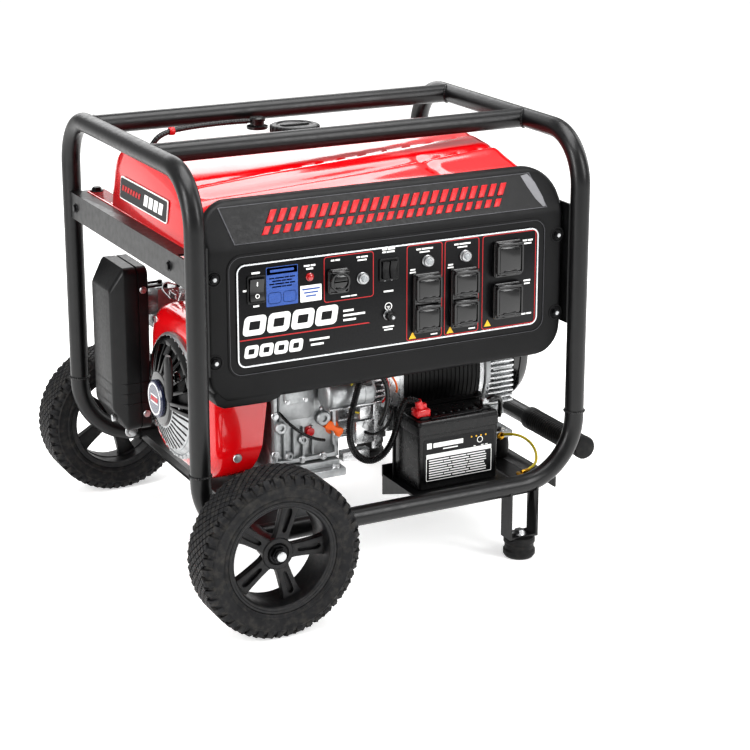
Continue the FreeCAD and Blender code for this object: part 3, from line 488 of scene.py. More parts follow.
def slab(outline: Sequence[Flat], axis: str, low: float, high: float, round_by: float = 0.0,
         segments: int = 2) -> bmesh.types.BMesh:
    """Flat outline given a thickness along an axis, with its rims rounded.

    Args:
        outline: Points of the outline.
        axis: Letter of the axis that the thickness runs along.
        low: Lower face's level.
        high: Upper face's level.
        round_by: Width of the rounds.
        segments: Faces across each round.

    Returns:
        The mesh, faces outwards.
    """
    form = loft([[lift(p, axis, low) for p in outline], [lift(p, axis, high) for p in outline]])
    soften(form, round_by, segments)
    return form


def holed_slab(outer: Sequence[Flat], inner: Sequence[Flat], axis: str, low: float, high: float,
               round_by: float = 0.0) -> bmesh.types.BMesh:
    """Slab with a hole, both outlines having the same number of points.

    Args:
        outer: Outer outline.
        inner: Outline of the hole.
        axis: Letter of the axis that the thickness runs along.
        low: Lower face's level.
        high: Upper face's level.
        round_by: Width of the rounds.

    Returns:
        The mesh, faces outwards.
    """
    form = bmesh.new()
    loops = []
    for outline, level in ((outer, low), (outer, high), (inner, high), (inner, low)):
        loops.append([form.verts.new(lift(p, axis, level)) for p in outline])
    for one, two in zip(loops, loops[1:] + loops[:1]):
        for index in range(len(outer)):
            after = (index + 1) % len(outer)
            form.faces.new((one[index], one[after], two[after], two[index]))
    bmesh.ops.recalc_face_normals(form, faces=form.faces)
    soften(form, round_by)
    return form


def block(low: Sequence[float], high: Sequence[float], round_by: float = 0.8,
          segments: int = 2) -> bmesh.types.BMesh:
    """Box between two corners, with its edges rounded."""
    corners = [(low[0], low[1]), (high[0], low[1]), (high[0], high[1]), (low[0], high[1])]
    return slab(corners, "z", low[2], high[2], round_by, segments)


def turned(profile: Sequence[Flat], centre: Vector, axis: Vector, steps: int = 48) -> bmesh.types.BMesh:
    """Solid of revolution.

    Args:
        profile: Closed outline of (radius, distance along the axis) points. Points at radius zero
            share one vertex.
        centre: Where distance zero lies on the axis.
        axis: The axis's direction.
        steps: Faces round the axis.

    Returns:
        The mesh, faces outwards.
    """
    form = bmesh.new()
    across = axis.orthogonal().normalized()
    beside = axis.cross(across).normalized()
    columns = []
    for step in range(steps):
        angle = 2 * math.pi * step / steps
        outwards = across * math.cos(angle) + beside * math.sin(angle)
        columns.append([form.verts.new(centre + axis * along + outwards * radius) for radius,
                        along in profile])
    for one, two in zip(columns, columns[1:] + columns[:1]):
        for index in range(len(profile)):
            after = (index + 1) % len(profile)
            form.faces.new((one[index], one[after], two[after], two[index]))
    bmesh.ops.remove_doubles(form, verts=form.verts, dist=1e-4)
    bmesh.ops.recalc_face_normals(form, faces=form.faces)
    return form


def rod(start: Vector, end: Vector, radius: float, round_by: float = 0.6,
        steps: int = 28) -> bmesh.types.BMesh:
    """Round bar with rounded rims.

    Args:
        start: Centre of one end.
        end: Centre of the other end.
        radius: The bar's radius.
        round_by: Width of the rounds at the rims.
        steps: Faces round the bar.

    Returns:
        The mesh, faces outwards.
    """
    length = (end - start).length
    edge = min(round_by, radius * 0.45, length * 0.45)
    profile = [(0, 0), (radius - edge, 0), (radius - edge * 0.3, edge * 0.3), (radius, edge),
               (radius, length - edge), (radius - edge * 0.3, length - edge * 0.3), (radius - edge, length),
               (0, length)]
    return turned(profile, start, (end - start).normalized(), steps)


def pipe(points: Sequence[Vector], radius: float, sides: int = 12) -> bmesh.types.BMesh:
    """Round bar that follows points without twisting.

    Args:
        points: Centre line.
        radius: The bar's radius.
        sides: Faces round the bar.

    Returns:
        The mesh, faces outwards.
    """
    tangent = (points[1] - points[0]).normalized()
    side = tangent.orthogonal().normalized()
    rings = []
    for index, point in enumerate(points):
        ahead = points[min(index + 1, len(points) - 1)]
        behind = points[max(index - 1, 0)]
        turn = tangent.rotation_difference((ahead - behind).normalized())
        side = turn @ side
        tangent = (ahead - behind).normalized()
        up = tangent.cross(side)
        rings.append([point + (side * math.cos(a) + up * math.sin(a)) * radius
                      for a in (2 * math.pi * k / sides for k in range(sides))])
    return loft(rings)


def to_mesh(form: bmesh.types.BMesh, name: str = "form") -> bpy.types.Mesh:
    """Turns a bmesh into mesh data and frees it.

    Args:
        form: Mesh to turn; it is freed.
        name: Name of the data.

    Returns:
        The mesh data.
    """
    mesh = bpy.data.meshes.new(name)
    form.to_mesh(mesh)
    form.free()
    return mesh


def evaluated(obj: bpy.types.Object) -> bpy.types.Mesh:
    """Plain mesh of an object with its modifiers applied; the object itself is removed.

    Args:
        obj: Object with its modifiers.

    Returns:
        The plain mesh.
    """
    bpy.context.view_layer.update()
    graph = bpy.context.evaluated_depsgraph_get()
    mesh = bpy.data.meshes.new_from_object(obj.evaluated_get(graph))
    bpy.data.objects.remove(obj)
    return mesh


class Piece:
    """A visible piece under construction, in millimetres from the middle of the tube frame."""

    def __init__(self, name: str, finish: Finish, body: str = ROOT) -> None:
        """Starts an empty piece.

        Args:
            name: Name of the finished object.
            finish: What it is made of.
            body: CAD body that it rides on.
        """
        self.name, self.finish, self.body = name, finish, body
        self.form = bmesh.new()

    def add(self, *forms: bmesh.types.BMesh) -> "Piece":
        """Takes in closed forms and gives itself back.

        Args:
            forms: Closed forms; each is freed.

        Returns:
            The piece.
        """
        for form in forms:
            mesh = to_mesh(form)
            self.form.from_mesh(mesh)
            bpy.data.meshes.remove(mesh)
        return self

    def place(self, replaces: Sequence[str] = (), crease: float = 32.0) -> bpy.types.Object:
        """Finishes the piece in the row frame, on its body.

        Args:
            replaces: CAD nodes that it stands for.
            crease: Angle above which an edge looks sharp, in degrees.

        Returns:
            The finished object.
        """
        self.form.transform(TO_ROW)
        return place_mesh(to_mesh(self.form, self.name), self.name, self.finish, self.body, replaces, crease)


def place_mesh(mesh: bpy.types.Mesh, name: str, finish: Finish, body: str, replaces: Sequence[str] = (),
               crease: float = 32.0) -> bpy.types.Object:
    """Puts a finished mesh into the scene, on its body.

    Args:
        mesh: Mesh in the row frame, in metres.
        name: Name of the object.
        finish: What it is made of.
        body: CAD body that it rides on.
        replaces: CAD nodes that it stands for.
        crease: Angle above which an edge looks sharp, in degrees.

    Returns:
        The finished object.
    """
    mesh.shade_smooth()
    mesh.set_sharp_from_angle(angle=math.radians(crease))
    mesh.materials.clear()
    mesh.materials.append(finish.material())
    obj = bpy.data.objects.new(name, mesh)
    bpy.context.scene.collection.objects.link(obj)
    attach(obj, body)
    if replaces:
        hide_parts(*replaces)
    LOG.info("%s: %d faces on %s", name, len(mesh.polygons), body)
    return obj


def dress(node: str, finish: Finish) -> None:
    """Gives a CAD node that stays in view its finish.

    Args:
        node: Name of the CAD node.
        finish: What it is made of.
    """
    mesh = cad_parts[node].data
    mesh.materials.clear()
    mesh.materials.append(finish.material())
    LOG.info("%s: dressed in %s", node, finish.name)


# ------------------------------------------------------------------ patterns that repeat
class Pattern:
    """A Geometry Nodes tree with named inputs that ends in Realize Instances and Set Material."""

    def __init__(self, name: str, inputs: Sequence[tuple[str, str]]) -> None:
        """Makes the tree and its sockets.

        Args:
            name: Name of the tree.
            inputs: Name and socket type of each input after the geometry.
        """
        self.tree = bpy.data.node_groups.new(name, "GeometryNodeTree")
        self.tree.is_modifier = True
        self.tree.interface.new_socket("Geometry", in_out="INPUT", socket_type="NodeSocketGeometry")
        for label, kind in (*inputs, ("Finish", "NodeSocketMaterial")):
            self.tree.interface.new_socket(label, in_out="INPUT", socket_type=kind)
        self.tree.interface.new_socket("Geometry", in_out="OUTPUT", socket_type="NodeSocketGeometry")
        self.given = add_node(self.tree, "NodeGroupInput")
        self._close(self._grow())

    def _grow(self) -> bpy.types.NodeSocket:
        """Builds the pattern and gives its geometry."""
        raise NotImplementedError

    def _close(self, geometry: bpy.types.NodeSocket) -> None:
        """Makes instances real and sets the material.

        Args:
            geometry: Socket that gives the pattern.
        """
        real = add_node(self.tree, "GeometryNodeRealizeInstances", {}, {"Geometry": geometry})
        dressed = add_node(self.tree, "GeometryNodeSetMaterial", {},
                           {"Geometry": real.outputs["Geometry"], "Material": self.given.outputs["Finish"]})
        add_node(self.tree, "NodeGroupOutput", {}, {"Geometry": dressed.outputs["Geometry"]})

    def apply(self, data: bpy.types.ID, finish: Finish, values: dict) -> bpy.types.Mesh:
        """Runs the pattern on a mesh or curve and gives the plain mesh.

        Args:
            data: Mesh or curve that the pattern starts from, in millimetres.
            finish: What the result is made of.
            values: Input name to value.

        Returns:
            The mesh, in millimetres.
        """
        obj = bpy.data.objects.new("pattern", data)
        bpy.context.scene.collection.objects.link(obj)
        modifier = obj.modifiers.new("pattern", "NODES")
        modifier.node_group = self.tree
        known = {item.name: item.identifier for item in self.tree.interface.items_tree
                 if item.in_out == "INPUT"}
        for label, value in {**values, "Finish": finish.material()}.items():
            modifier[known[label]] = value
        return evaluated(obj)

    def form(self, data: bpy.types.ID, finish: Finish, **values: object) -> bmesh.types.BMesh:
        """Runs the pattern and gives a form to add to a piece, spaces in input names written as _.

        Args:
            data: Mesh or curve that the pattern starts from, in millimetres.
            finish: What the result is made of.
            values: Input name to value.

        Returns:
            The form.
        """
        mesh = self.apply(data, finish, {label.replace("_", " "): value for label, value in values.items()})
        form = bmesh.new()
        form.from_mesh(mesh)
        return form


class RingOfCopies(Pattern):
    """Copies of a mesh, turned evenly about an axis."""

    def __init__(self) -> None:
        """Makes the tree."""
        super().__init__("ring_of_copies", (("Count", "NodeSocketInt"), ("Sweep", "NodeSocketFloat"),
                                            ("Axis", "NodeSocketVector"), ("Centre", "NodeSocketVector")))

    def _grow(self) -> bpy.types.NodeSocket:
        """Points at the centre, each with the mesh turned about the axis.

        Returns:
            Socket that gives the copies.
        """
        given = self.given.outputs
        points = add_node(self.tree, "GeometryNodeMeshLine", {"mode": "OFFSET"},
                          {"Count": given["Count"], "Start Location": given["Centre"], "Offset": (0, 0, 0)})
        share = add_node(self.tree, "ShaderNodeMath", {"operation": "DIVIDE"},
                         {0: given["Sweep"], 1: given["Count"]})
        index = add_node(self.tree, "GeometryNodeInputIndex")
        angle = add_node(self.tree, "ShaderNodeMath", {"operation": "MULTIPLY"},
                         {0: index.outputs["Index"], 1: share.outputs["Value"]})
        turn = add_node(self.tree, "FunctionNodeAxisAngleToRotation", {},
                        {"Axis": given["Axis"], "Angle": angle.outputs["Value"]})
        back = add_node(self.tree, "ShaderNodeVectorMath", {"operation": "SCALE"},
                        {0: given["Centre"], "Scale": -1.0})
        centred = add_node(self.tree, "GeometryNodeTransform", {},
                           {"Geometry": given["Geometry"], "Translation": back.outputs["Vector"]})
        copies = add_node(self.tree, "GeometryNodeInstanceOnPoints", {},
                          {"Points": points.outputs["Mesh"], "Instance": centred.outputs["Geometry"],
                           "Rotation": turn.outputs["Rotation"]})
        return copies.outputs["Instances"]


class RowOfCopies(Pattern):
    """Copies of a mesh in a straight row."""

    def __init__(self) -> None:
        """Makes the tree."""
        super().__init__("row_of_copies", (("Count", "NodeSocketInt"), ("Step", "NodeSocketVector")))

    def _grow(self) -> bpy.types.NodeSocket:
        """A line of points with the mesh on each.

        Returns:
            Socket that gives the copies.
        """
        given = self.given.outputs
        points = add_node(self.tree, "GeometryNodeMeshLine", {"mode": "OFFSET"},
                          {"Count": given["Count"], "Offset": given["Step"]})
        copies = add_node(self.tree, "GeometryNodeInstanceOnPoints", {},
                          {"Points": points.outputs["Mesh"], "Instance": given["Geometry"]})
        return copies.outputs["Instances"]


class FlangeBolts(Pattern):
    """Hexagon flange bolts on points that each carry the way they face as "aim"."""

    def __init__(self) -> None:
        """Makes the tree."""
        super().__init__("flange_bolts",
                         (("Head Radius", "NodeSocketFloat"), ("Head Height", "NodeSocketFloat")))

    def _grow(self) -> bpy.types.NodeSocket:
        """Flange, hexagon and chamfer, joined and put on each point.

        Returns:
            Socket that gives the bolts.
        """
        given = self.given.outputs
        parts = []
        for label, sides, spread, rise, lift_by in (("flange", 24, 1.28, 0.22, 0.0),
                                                    ("hexagon", 6, 1.0, 0.8, 0.2),
                                                    ("crown", 6, 0.86, 0.98, 0.2)):
            radius = add_node(self.tree, "ShaderNodeMath", {"operation": "MULTIPLY", "label": label},
                              {0: given["Head Radius"], 1: spread})
            depth = add_node(self.tree, "ShaderNodeMath", {"operation": "MULTIPLY"},
                             {0: given["Head Height"], 1: rise - lift_by * 0.5})
            top = add_node(self.tree, "ShaderNodeMath", {"operation": "MULTIPLY"},
                           {0: radius.outputs["Value"], 1: 0.9 if label != "hexagon" else 0.97})
            cone = add_node(self.tree, "GeometryNodeMeshCone", {},
                            {"Vertices": sides, "Radius Top": top.outputs["Value"],
                             "Radius Bottom": radius.outputs["Value"], "Depth": depth.outputs["Value"]})
            parts.append(cone.outputs["Mesh"])
        joined = add_node(self.tree, "GeometryNodeJoinGeometry")
        for part in parts:
            self.tree.links.new(part, joined.inputs["Geometry"])
        aim = add_node(self.tree, "GeometryNodeInputNamedAttribute", {"data_type": "FLOAT_VECTOR"},
                       {"Name": "aim"})
        turn = add_node(self.tree, "FunctionNodeAlignRotationToVector", {"axis": "Z"},
                        {"Vector": aim.outputs["Attribute"]})
        copies = add_node(self.tree, "GeometryNodeInstanceOnPoints", {},
                          {"Points": given["Geometry"], "Instance": joined.outputs["Geometry"],
                           "Rotation": turn.outputs["Rotation"]})
        return copies.outputs["Instances"]


class RibbedHose(Pattern):
    """Hose or weld bead that follows a curve, with ribs at a pitch."""

    def __init__(self) -> None:
        """Makes the tree."""
        super().__init__("ribbed_hose", (("Radius", "NodeSocketFloat"), ("Pitch", "NodeSocketFloat"),
                                         ("Rib", "NodeSocketFloat"), ("Sides", "NodeSocketInt")))

    def _grow(self) -> bpy.types.NodeSocket:
        """Curve resampled to a sixth of the pitch, its radius rising and falling along it.

        Returns:
            Socket that gives the hose.
        """
        given = self.given.outputs
        span = add_node(self.tree, "ShaderNodeMath", {"operation": "DIVIDE"}, {0: given["Pitch"], 1: 6.0})
        fine = add_node(self.tree, "GeometryNodeResampleCurve", {"mode": "LENGTH"},
                        {"Curve": given["Geometry"], "Length": span.outputs["Value"]})
        along = add_node(self.tree, "GeometryNodeSplineParameter")
        turns = add_node(self.tree, "ShaderNodeMath", {"operation": "DIVIDE"},
                         {0: along.outputs["Length"], 1: given["Pitch"]})
        phase = add_node(self.tree, "ShaderNodeMath", {"operation": "MULTIPLY"},
                         {0: turns.outputs["Value"], 1: 2 * math.pi})
        wave = add_node(self.tree, "ShaderNodeMath", {"operation": "SINE"}, {0: phase.outputs["Value"]})
        rise = add_node(self.tree, "ShaderNodeMath", {"operation": "MULTIPLY_ADD"},
                        {0: wave.outputs["Value"], 1: given["Rib"], 2: 1.0})
        size = add_node(self.tree, "ShaderNodeMath", {"operation": "MULTIPLY"},
                        {0: rise.outputs["Value"], 1: given["Radius"]})
        profile = add_node(self.tree, "GeometryNodeCurvePrimitiveCircle", {},
                           {"Resolution": given["Sides"], "Radius": 1.0})
        sweep = add_node(self.tree, "GeometryNodeCurveToMesh", {},
                         {"Curve": fine.outputs["Curve"], "Profile Curve": profile.outputs["Curve"],
                          "Fill Caps": True})
        if "Scale" in sweep.inputs:
            self.tree.links.new(size.outputs["Value"], sweep.inputs["Scale"])
        else:
            sized = add_node(self.tree, "GeometryNodeSetCurveRadius", {},
                             {"Curve": fine.outputs["Curve"], "Radius": size.outputs["Value"]})
            self.tree.links.new(sized.outputs["Curve"], sweep.inputs["Curve"])
        return sweep.outputs["Mesh"]


RING, ROW, BOLTS, HOSE = RingOfCopies(), RowOfCopies(), FlangeBolts(), RibbedHose()


def ring_of(form: bmesh.types.BMesh, count: int, centre: Vector, axis: Vector, finish: Finish,
            sweep: float = 2 * math.pi) -> bmesh.types.BMesh:
    """Copies of a form turned about an axis."""
    return RING.form(to_mesh(form), finish, Count=count, Sweep=sweep, Axis=tuple(axis), Centre=tuple(centre))


def row_of(form: bmesh.types.BMesh, count: int, step: Sequence[float], finish: Finish) -> bmesh.types.BMesh:
    """Copies of a form in a row."""
    return ROW.form(to_mesh(form), finish, Count=count, Step=tuple(step))


def bolts_at(places: Sequence[tuple[Sequence[float], Vector]], radius: float, height: float,
             finish: Finish) -> bmesh.types.BMesh:
    """Flange bolts at points that each face a way.

    Args:
        places: Point under the head and the way the head faces.
        radius: Radius of the hexagon's corners.
        height: Height of the head.
        finish: What they are made of.

    Returns:
        The bolts' mesh.
    """
    mesh = bpy.data.meshes.new("points")
    mesh.from_pydata([tuple(point) for point, _ in places], [], [])
    aim = mesh.attributes.new("aim", "FLOAT_VECTOR", "POINT")
    aim.data.foreach_set("vector", [value for _, way in places for value in way])
    return BOLTS.form(mesh, finish, Head_Radius=radius, Head_Height=height)


def curve_through(points: Sequence[Sequence[float]], closed: bool = False,
                  straight: bool = False) -> bpy.types.Curve:
    """Curve in millimetres: a NURBS line led by points, or straight runs between them.

    Args:
        points: Points that lead the line.
        closed: Whether it joins up with its start.
        straight: Whether the runs are straight.

    Returns:
        The curve.
    """
    curve = bpy.data.curves.new("route", "CURVE")
    curve.dimensions = "3D"
    spline = curve.splines.new("POLY" if straight else "NURBS")
    spline.points.add(len(points) - 1)
    for knot, point in zip(spline.points, points):
        knot.co = (*point, 1.0)
    spline.use_cyclic_u = closed
    if not straight:
        spline.order_u = 4
        spline.use_endpoint_u = not closed
        spline.resolution_u = 12
    return curve


def hose_along(points: Sequence[Sequence[float]], radius: float, finish: Finish, pitch: float = 6.0,
               rib: float = 0.0,
               sides: int = 14, closed: bool = False, straight: bool = False) -> bmesh.types.BMesh:
    """Hose, wire or bead along points."""
    return HOSE.form(curve_through(points, closed, straight), finish, Radius=radius, Pitch=pitch, Rib=rib,
                     Sides=sides)


def recast(node: str, finish: Finish, body: str = ROOT, crease: float = 30.0) -> bpy.types.Object:
    """Smooth-shaded stand-in for a CAD node whose shape is already right.

    Args:
        node: Name of the CAD node.
        finish: What it is made of.
        body: CAD body that it rides on.
        crease: Angle above which an edge looks sharp, in degrees.

    Returns:
        The finished object.
    """
    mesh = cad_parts[node].data.copy()
    form = bmesh.new()
    form.from_mesh(mesh)
    bmesh.ops.remove_doubles(form, verts=form.verts, dist=1e-6)
    form.to_mesh(mesh)
    form.free()
    return place_mesh(mesh, f"{node}_skin", finish, body, (node,), crease)


# ------------------------------------------------------------------ frame
@dataclass
class TubeFrame:
    """Welded tube frame with its weld beads, bolts, mounts and feet."""

    half_length: float = 336.0
    half_width: float = 275.0
    top: float = 706.0
    tube_radius: float = 16.0
    top_rail_rows: tuple[float, float] = (-98.0, 166.0)
    post_joint: float = 241.0
    bead_radius: float = 1.9
    foot_x: float = 234.0
    axle: Flat = (-250.0, 131.0)
    isolators: tuple[tuple[float, float, float, float], ...] = (
        (-108, -90, 128, 145), (-108, 70, 128, 145), (270, -140, 128, 165), (270, 120, 128, 165))

    def build(self) -> None:
        """Builds and dresses everything welded or bolted to the frame."""
        for node in ("end_hoop_left", "end_hoop_right", "bottom_rail_front", "bottom_rail_back", "top_rails",
                     "weld_on_brackets", "cross_channels"):
            recast(node, POWDER_COAT)
        self._welds()
        self._bolts()
        self._rubber()

    def _welds(self) -> None:
        """Beads where the tubes meet."""
        piece = Piece("weld_beads", POWDER_COAT)
        turns = [2 * math.pi * step / 32 for step in range(32)]
        radius = self.tube_radius + 0.4
        for side in (-1, 1):
            for row in self.top_rail_rows:
                saddle = [(side * (self.half_length - radius * abs(math.cos(turn))),
                           row + radius * math.cos(turn),
                           min(self.top + radius * math.sin(turn), self.top + self.tube_radius - 2.4))
                          for turn in turns]
                piece.add(self._bead(saddle))
            for across in (-1, 1):
                joint = [(side * self.half_length + radius * math.cos(turn),
                          across * self.half_width + radius * math.sin(turn), self.post_joint)
                         for turn in turns]
                piece.add(self._bead(joint))
                for height in (533.0, 574.0):
                    seam = [(side * (self.half_length + 8), across * (self.half_width - 15.2), height),
                            (side * (self.half_length - 6), across * (self.half_width - 15.2), height)]
                    piece.add(hose_along(seam, 2.0, POWDER_COAT, 3.0, 0.16, 8, straight=True))
        piece.place()

    def _bead(self, points: Sequence[Sequence[float]]) -> bmesh.types.BMesh:
        """Rippled bead round a joint."""
        return hose_along(points, self.bead_radius, POWDER_COAT, 3.4, 0.16, 8, closed=True, straight=True)

    def _bolts(self) -> None:
        """Axle, foot, console, tank and hinge bolts, and the bolts of the tank channels."""
        zinc, dark = Piece("frame_fasteners", ZINC), Piece("console_fasteners", BLACK_OXIDE)
        axle_x, axle_z = self.axle
        for side in (-1, 1):
            out = Y * side
            zinc.add(bolts_at([((axle_x, side * 258, axle_z), -out),
                               ((self.foot_x, side * self.half_width, 40), Z)],
                              9.5, 8, ZINC))
            zinc.add(rod(Vector((axle_x, side * 249, axle_z)), Vector((axle_x, side * 382, axle_z)), 8, 1.2))
            zinc.add(rod(Vector((self.foot_x, side * self.half_width, 16)),
                         Vector((self.foot_x, side * self.half_width, 46)), 5))
            dark.add(bolts_at([((axle_x, side * 367, axle_z), out)], 13, 11, BLACK_OXIDE))
        dark.add(bolts_at([((x, -262, z), -Y) for x in (-302, 302) for z in (412, 543)], 7.4, 6, BLACK_OXIDE))
        zinc.add(bolts_at([((x, -266.4, z), -Y) for x in (-302, 302) for z in (412, 543)], 3.6, 2.4, ZINC))
        dark.add(bolts_at([((x, y, 577.5), Z) for x in (-304, 304) for y in (-190, 240)], 9, 8, BLACK_OXIDE))
        dark.add(bolts_at([((side * 344, y, 552), X * side) for side in (-1, 1) for y in (-190, 236)], 7, 5,
                          BLACK_OXIDE))
        zinc.add(bolts_at([((374, 250, 181.4), Z)], 9, 6, ZINC))
        zinc.add(rod(Vector((374, 250, 131.6)), Vector((374, 250, 184)), 5))
        zinc.place(("frame_bolts",))
        dark.place()

    def _rubber(self) -> None:
        """Feet, each with a waist and a lip, and the bulged engine mounts."""
        feet = Piece("rubber_feet_ribbed", SOFT_RUBBER)
        profile = [(0, 0), (19, 0), (24, 1.5), (27, 6), (27, 13), (24.5, 16), (24.5, 24), (26.4, 27),
                   (26.4, 33),
                   (24, 36), (0, 36)]
        for side in (-1, 1):
            feet.add(turned(profile, Vector((self.foot_x, side * self.half_width, 0)), Z))
        feet.place(("rubber_feet",))
        mounts = Piece("engine_mounts", SOFT_RUBBER)
        for x, y, low, high in self.isolators:
            tall = high - low
            bulge = [(0, 0), (16, 0), (17, 1), (18.6, tall * 0.3), (19, tall * 0.5), (18.6, tall * 0.7),
                     (17, tall - 1), (16, tall), (0, tall)]
            mounts.add(turned(bulge, Vector((x, y, low)), Z))
        mounts.place(("engine_isolators",))


# ------------------------------------------------------------------ wheels
@dataclass
class Wheel:
    """Solid-tyred wheel with a five-spoke moulded rim; along is measured outwards from its middle."""

    side: int
    body: str
    centre_x: float = -250.0
    centre_y: float = 354.0
    radius: float = 131.0
    tread_floor: float = 126.3
    half_tyre: float = 37.6
    bead: float = 88.0
    rim_radius: float = 90.0
    half_rim: float = 33.0
    barrel: float = 79.0
    hub: float = 24.0
    face: float = 12.0
    spokes: int = 5
    tread_rows: tuple[float, ...] = (-26.0, -19.5, -13.0, -6.5, 0.0, 6.5, 13.0, 19.5, 26.0)
    tread_blocks: int = 62
    lugs: int = 46

    @property
    def centre(self) -> Vector:
        """Middle of the wheel."""
        return Vector((self.centre_x, self.side * self.centre_y, self.radius))

    def _turn(self, profile: Sequence[Flat], steps: int = 96) -> bmesh.types.BMesh:
        """Profile turned about the axle."""
        return turned(profile, self.centre, Y * self.side, steps)

    def _at_start(self, outline: Sequence[Flat], low: float, high: float,
                  round_by: float) -> bmesh.types.BMesh:
        """Slab at the wheel's front, its outline in (radius, along) and its thickness round the axle.

        Args:
            outline: Points as (radius, along).
            low: Lower face's level.
            high: Upper face's level.
            round_by: Width of the rounds.

        Returns:
            The form, at its wheel.
        """
        form = slab(outline, "z", low, high, round_by, 1)
        form.transform(Matrix.Translation(self.centre) @ Matrix.Diagonal((1, self.side, 1, 1)))
        bmesh.ops.recalc_face_normals(form, faces=form.faces)
        return form

    def _ring(self, form: bmesh.types.BMesh, count: int, finish: Finish) -> bmesh.types.BMesh:
        """Copies of a form round the axle."""
        return ring_of(form, count, self.centre, Y, finish)

    def build(self) -> None:
        """Builds and dresses the tyre and the rim."""
        end = "front" if self.side < 0 else "back"
        tyre = Piece(f"{end}_tyre_treaded", TYRE_RUBBER, self.body)
        wide, floor = self.half_tyre, self.tread_floor
        half = [(self.bead, 26), (90.5, 33.6), (93, 34.6), (94.5, 36.0), (96.5, 36.2), (98, 35.4),
                (101, 36.6),
                (107, wide), (113, wide), (113.6, wide + 0.35), (115, wide + 0.35), (115.6, wide - 0.2),
                (120, wide - 2.2), (124, wide - 5.6), (floor, wide - 9.6)]
        tyre.add(self._turn(half + [(radius, -along) for radius, along in reversed(half)], 120))
        pitch = 2 * math.pi / self.tread_blocks
        for row, along in enumerate(self.tread_rows):
            tile = loft([[Vector((level, along + reach * math.sin(a), reach * math.cos(a)))
                          for a in (math.pi / 2 * k for k in range(4))]
                         for level,
                         reach in ((floor - 1.5, 6.1), (self.radius - 1.0, 5.5), (self.radius - 0.15, 4.6))])
            tile.transform(Matrix.Translation(self.centre) @ Matrix.Rotation(pitch / 2 * (row % 2), 4, "Y"))
            tyre.add(self._ring(tile, self.tread_blocks, TYRE_RUBBER))
        lug = [(114, wide - 1.6), (120, wide + 0.1), (126, wide - 2.4), (129.6, wide - 7.6),
               (130.4, wide - 11),
               (120, wide - 11)]
        for facing in (1, -1):
            shape = [(radius, along * facing) for radius, along in lug]
            tyre.add(self._ring(self._at_start(shape, -5.2, 5.2, 0.8), self.lugs, TYRE_RUBBER))
        tyre.place((f"{end}_tyre",))
        self._rim(end)

    def _rim(self, end: str) -> None:
        """Barrel, five recessed spokes and the hub.

        Args:
            end: Which wheel it is, for the names.
        """
        rim = Piece(f"{end}_rim_spoked", RIM_PLASTIC, self.body)
        deep, lip = self.half_rim, self.rim_radius
        rim.add(self._turn([(self.barrel, -deep + 3), (self.barrel + 2, -deep + 0.5), (lip - 1, -deep),
                            (lip, -deep + 1),
                            (lip, -deep + 5), (self.bead, -deep + 7), (self.bead, deep - 7), (lip, deep - 5),
                            (lip, deep - 1), (lip - 1, deep), (lip - 4, deep), (lip - 5, deep - 1.2),
                            (lip - 8, deep - 1.2),
                            (self.barrel + 1, deep - 3), (self.barrel, deep - 6),
                            (self.barrel - 1.5, self.face + 3),
                            (self.barrel - 1.5, self.face - 16), (self.barrel, self.face - 18)]))
        spoke = self._spoke()
        rim.add(self._ring(spoke, self.spokes, RIM_PLASTIC))
        face = self.face
        rim.add(self._turn([(8.6, -deep + 2), (17, -deep + 2), (18, -deep + 3), (20, face - 10),
                            (self.hub, face - 8),
                            (self.hub + 1.5, face - 2), (self.hub + 1.5, face + 0.5), (self.hub, face + 2),
                            (18, face + 2), (17, face + 0.4), (15, face + 0.4), (14, face + 1.4),
                            (8.6, face + 1.4)], 72))
        rim.place((f"{end}_rim",))

    def _spoke(self) -> bmesh.types.BMesh:
        """One spoke, wider at both ends, with a long round-ended recess in its face.

        Returns:
            The spoke at the front of the wheel.
        """
        widths = ((16, 12.4), (22, 11.4), (28, 10.6), (40, 11.0), (52, 11.9), (62, 12.8), (70, 13.8),
                  (75, 15.4),
                  (79.4, 18.6))
        recess = ((33.5, 0.6), (34.4, 2.0), (36.4, 3.2), (45, 4.0), (54, 4.5), (63, 5.0), (69, 4.4),
                  (71.6, 2.6),
                  (72.6, 0.6))
        outer = [(r, -w) for r, w in widths] + [(r, w) for r, w in reversed(widths)]
        inner = [(r, -w) for r, w in recess] + [(r, w) for r, w in reversed(recess)]
        forms = [holed_slab(outer, inner, "y", self.face - 9, self.face, 1.6),
                 slab(outer, "y", self.face - 14, self.face - 6, 1.0)]
        spoke = bmesh.new()
        for form in forms:
            mesh = to_mesh(form)
            spoke.from_mesh(mesh)
            bpy.data.meshes.remove(mesh)
        spoke.transform(Matrix.Translation(self.centre) @ Matrix.Diagonal((1, self.side, 1, 1)))
        bmesh.ops.recalc_face_normals(spoke, faces=spoke.faces)
        return spoke


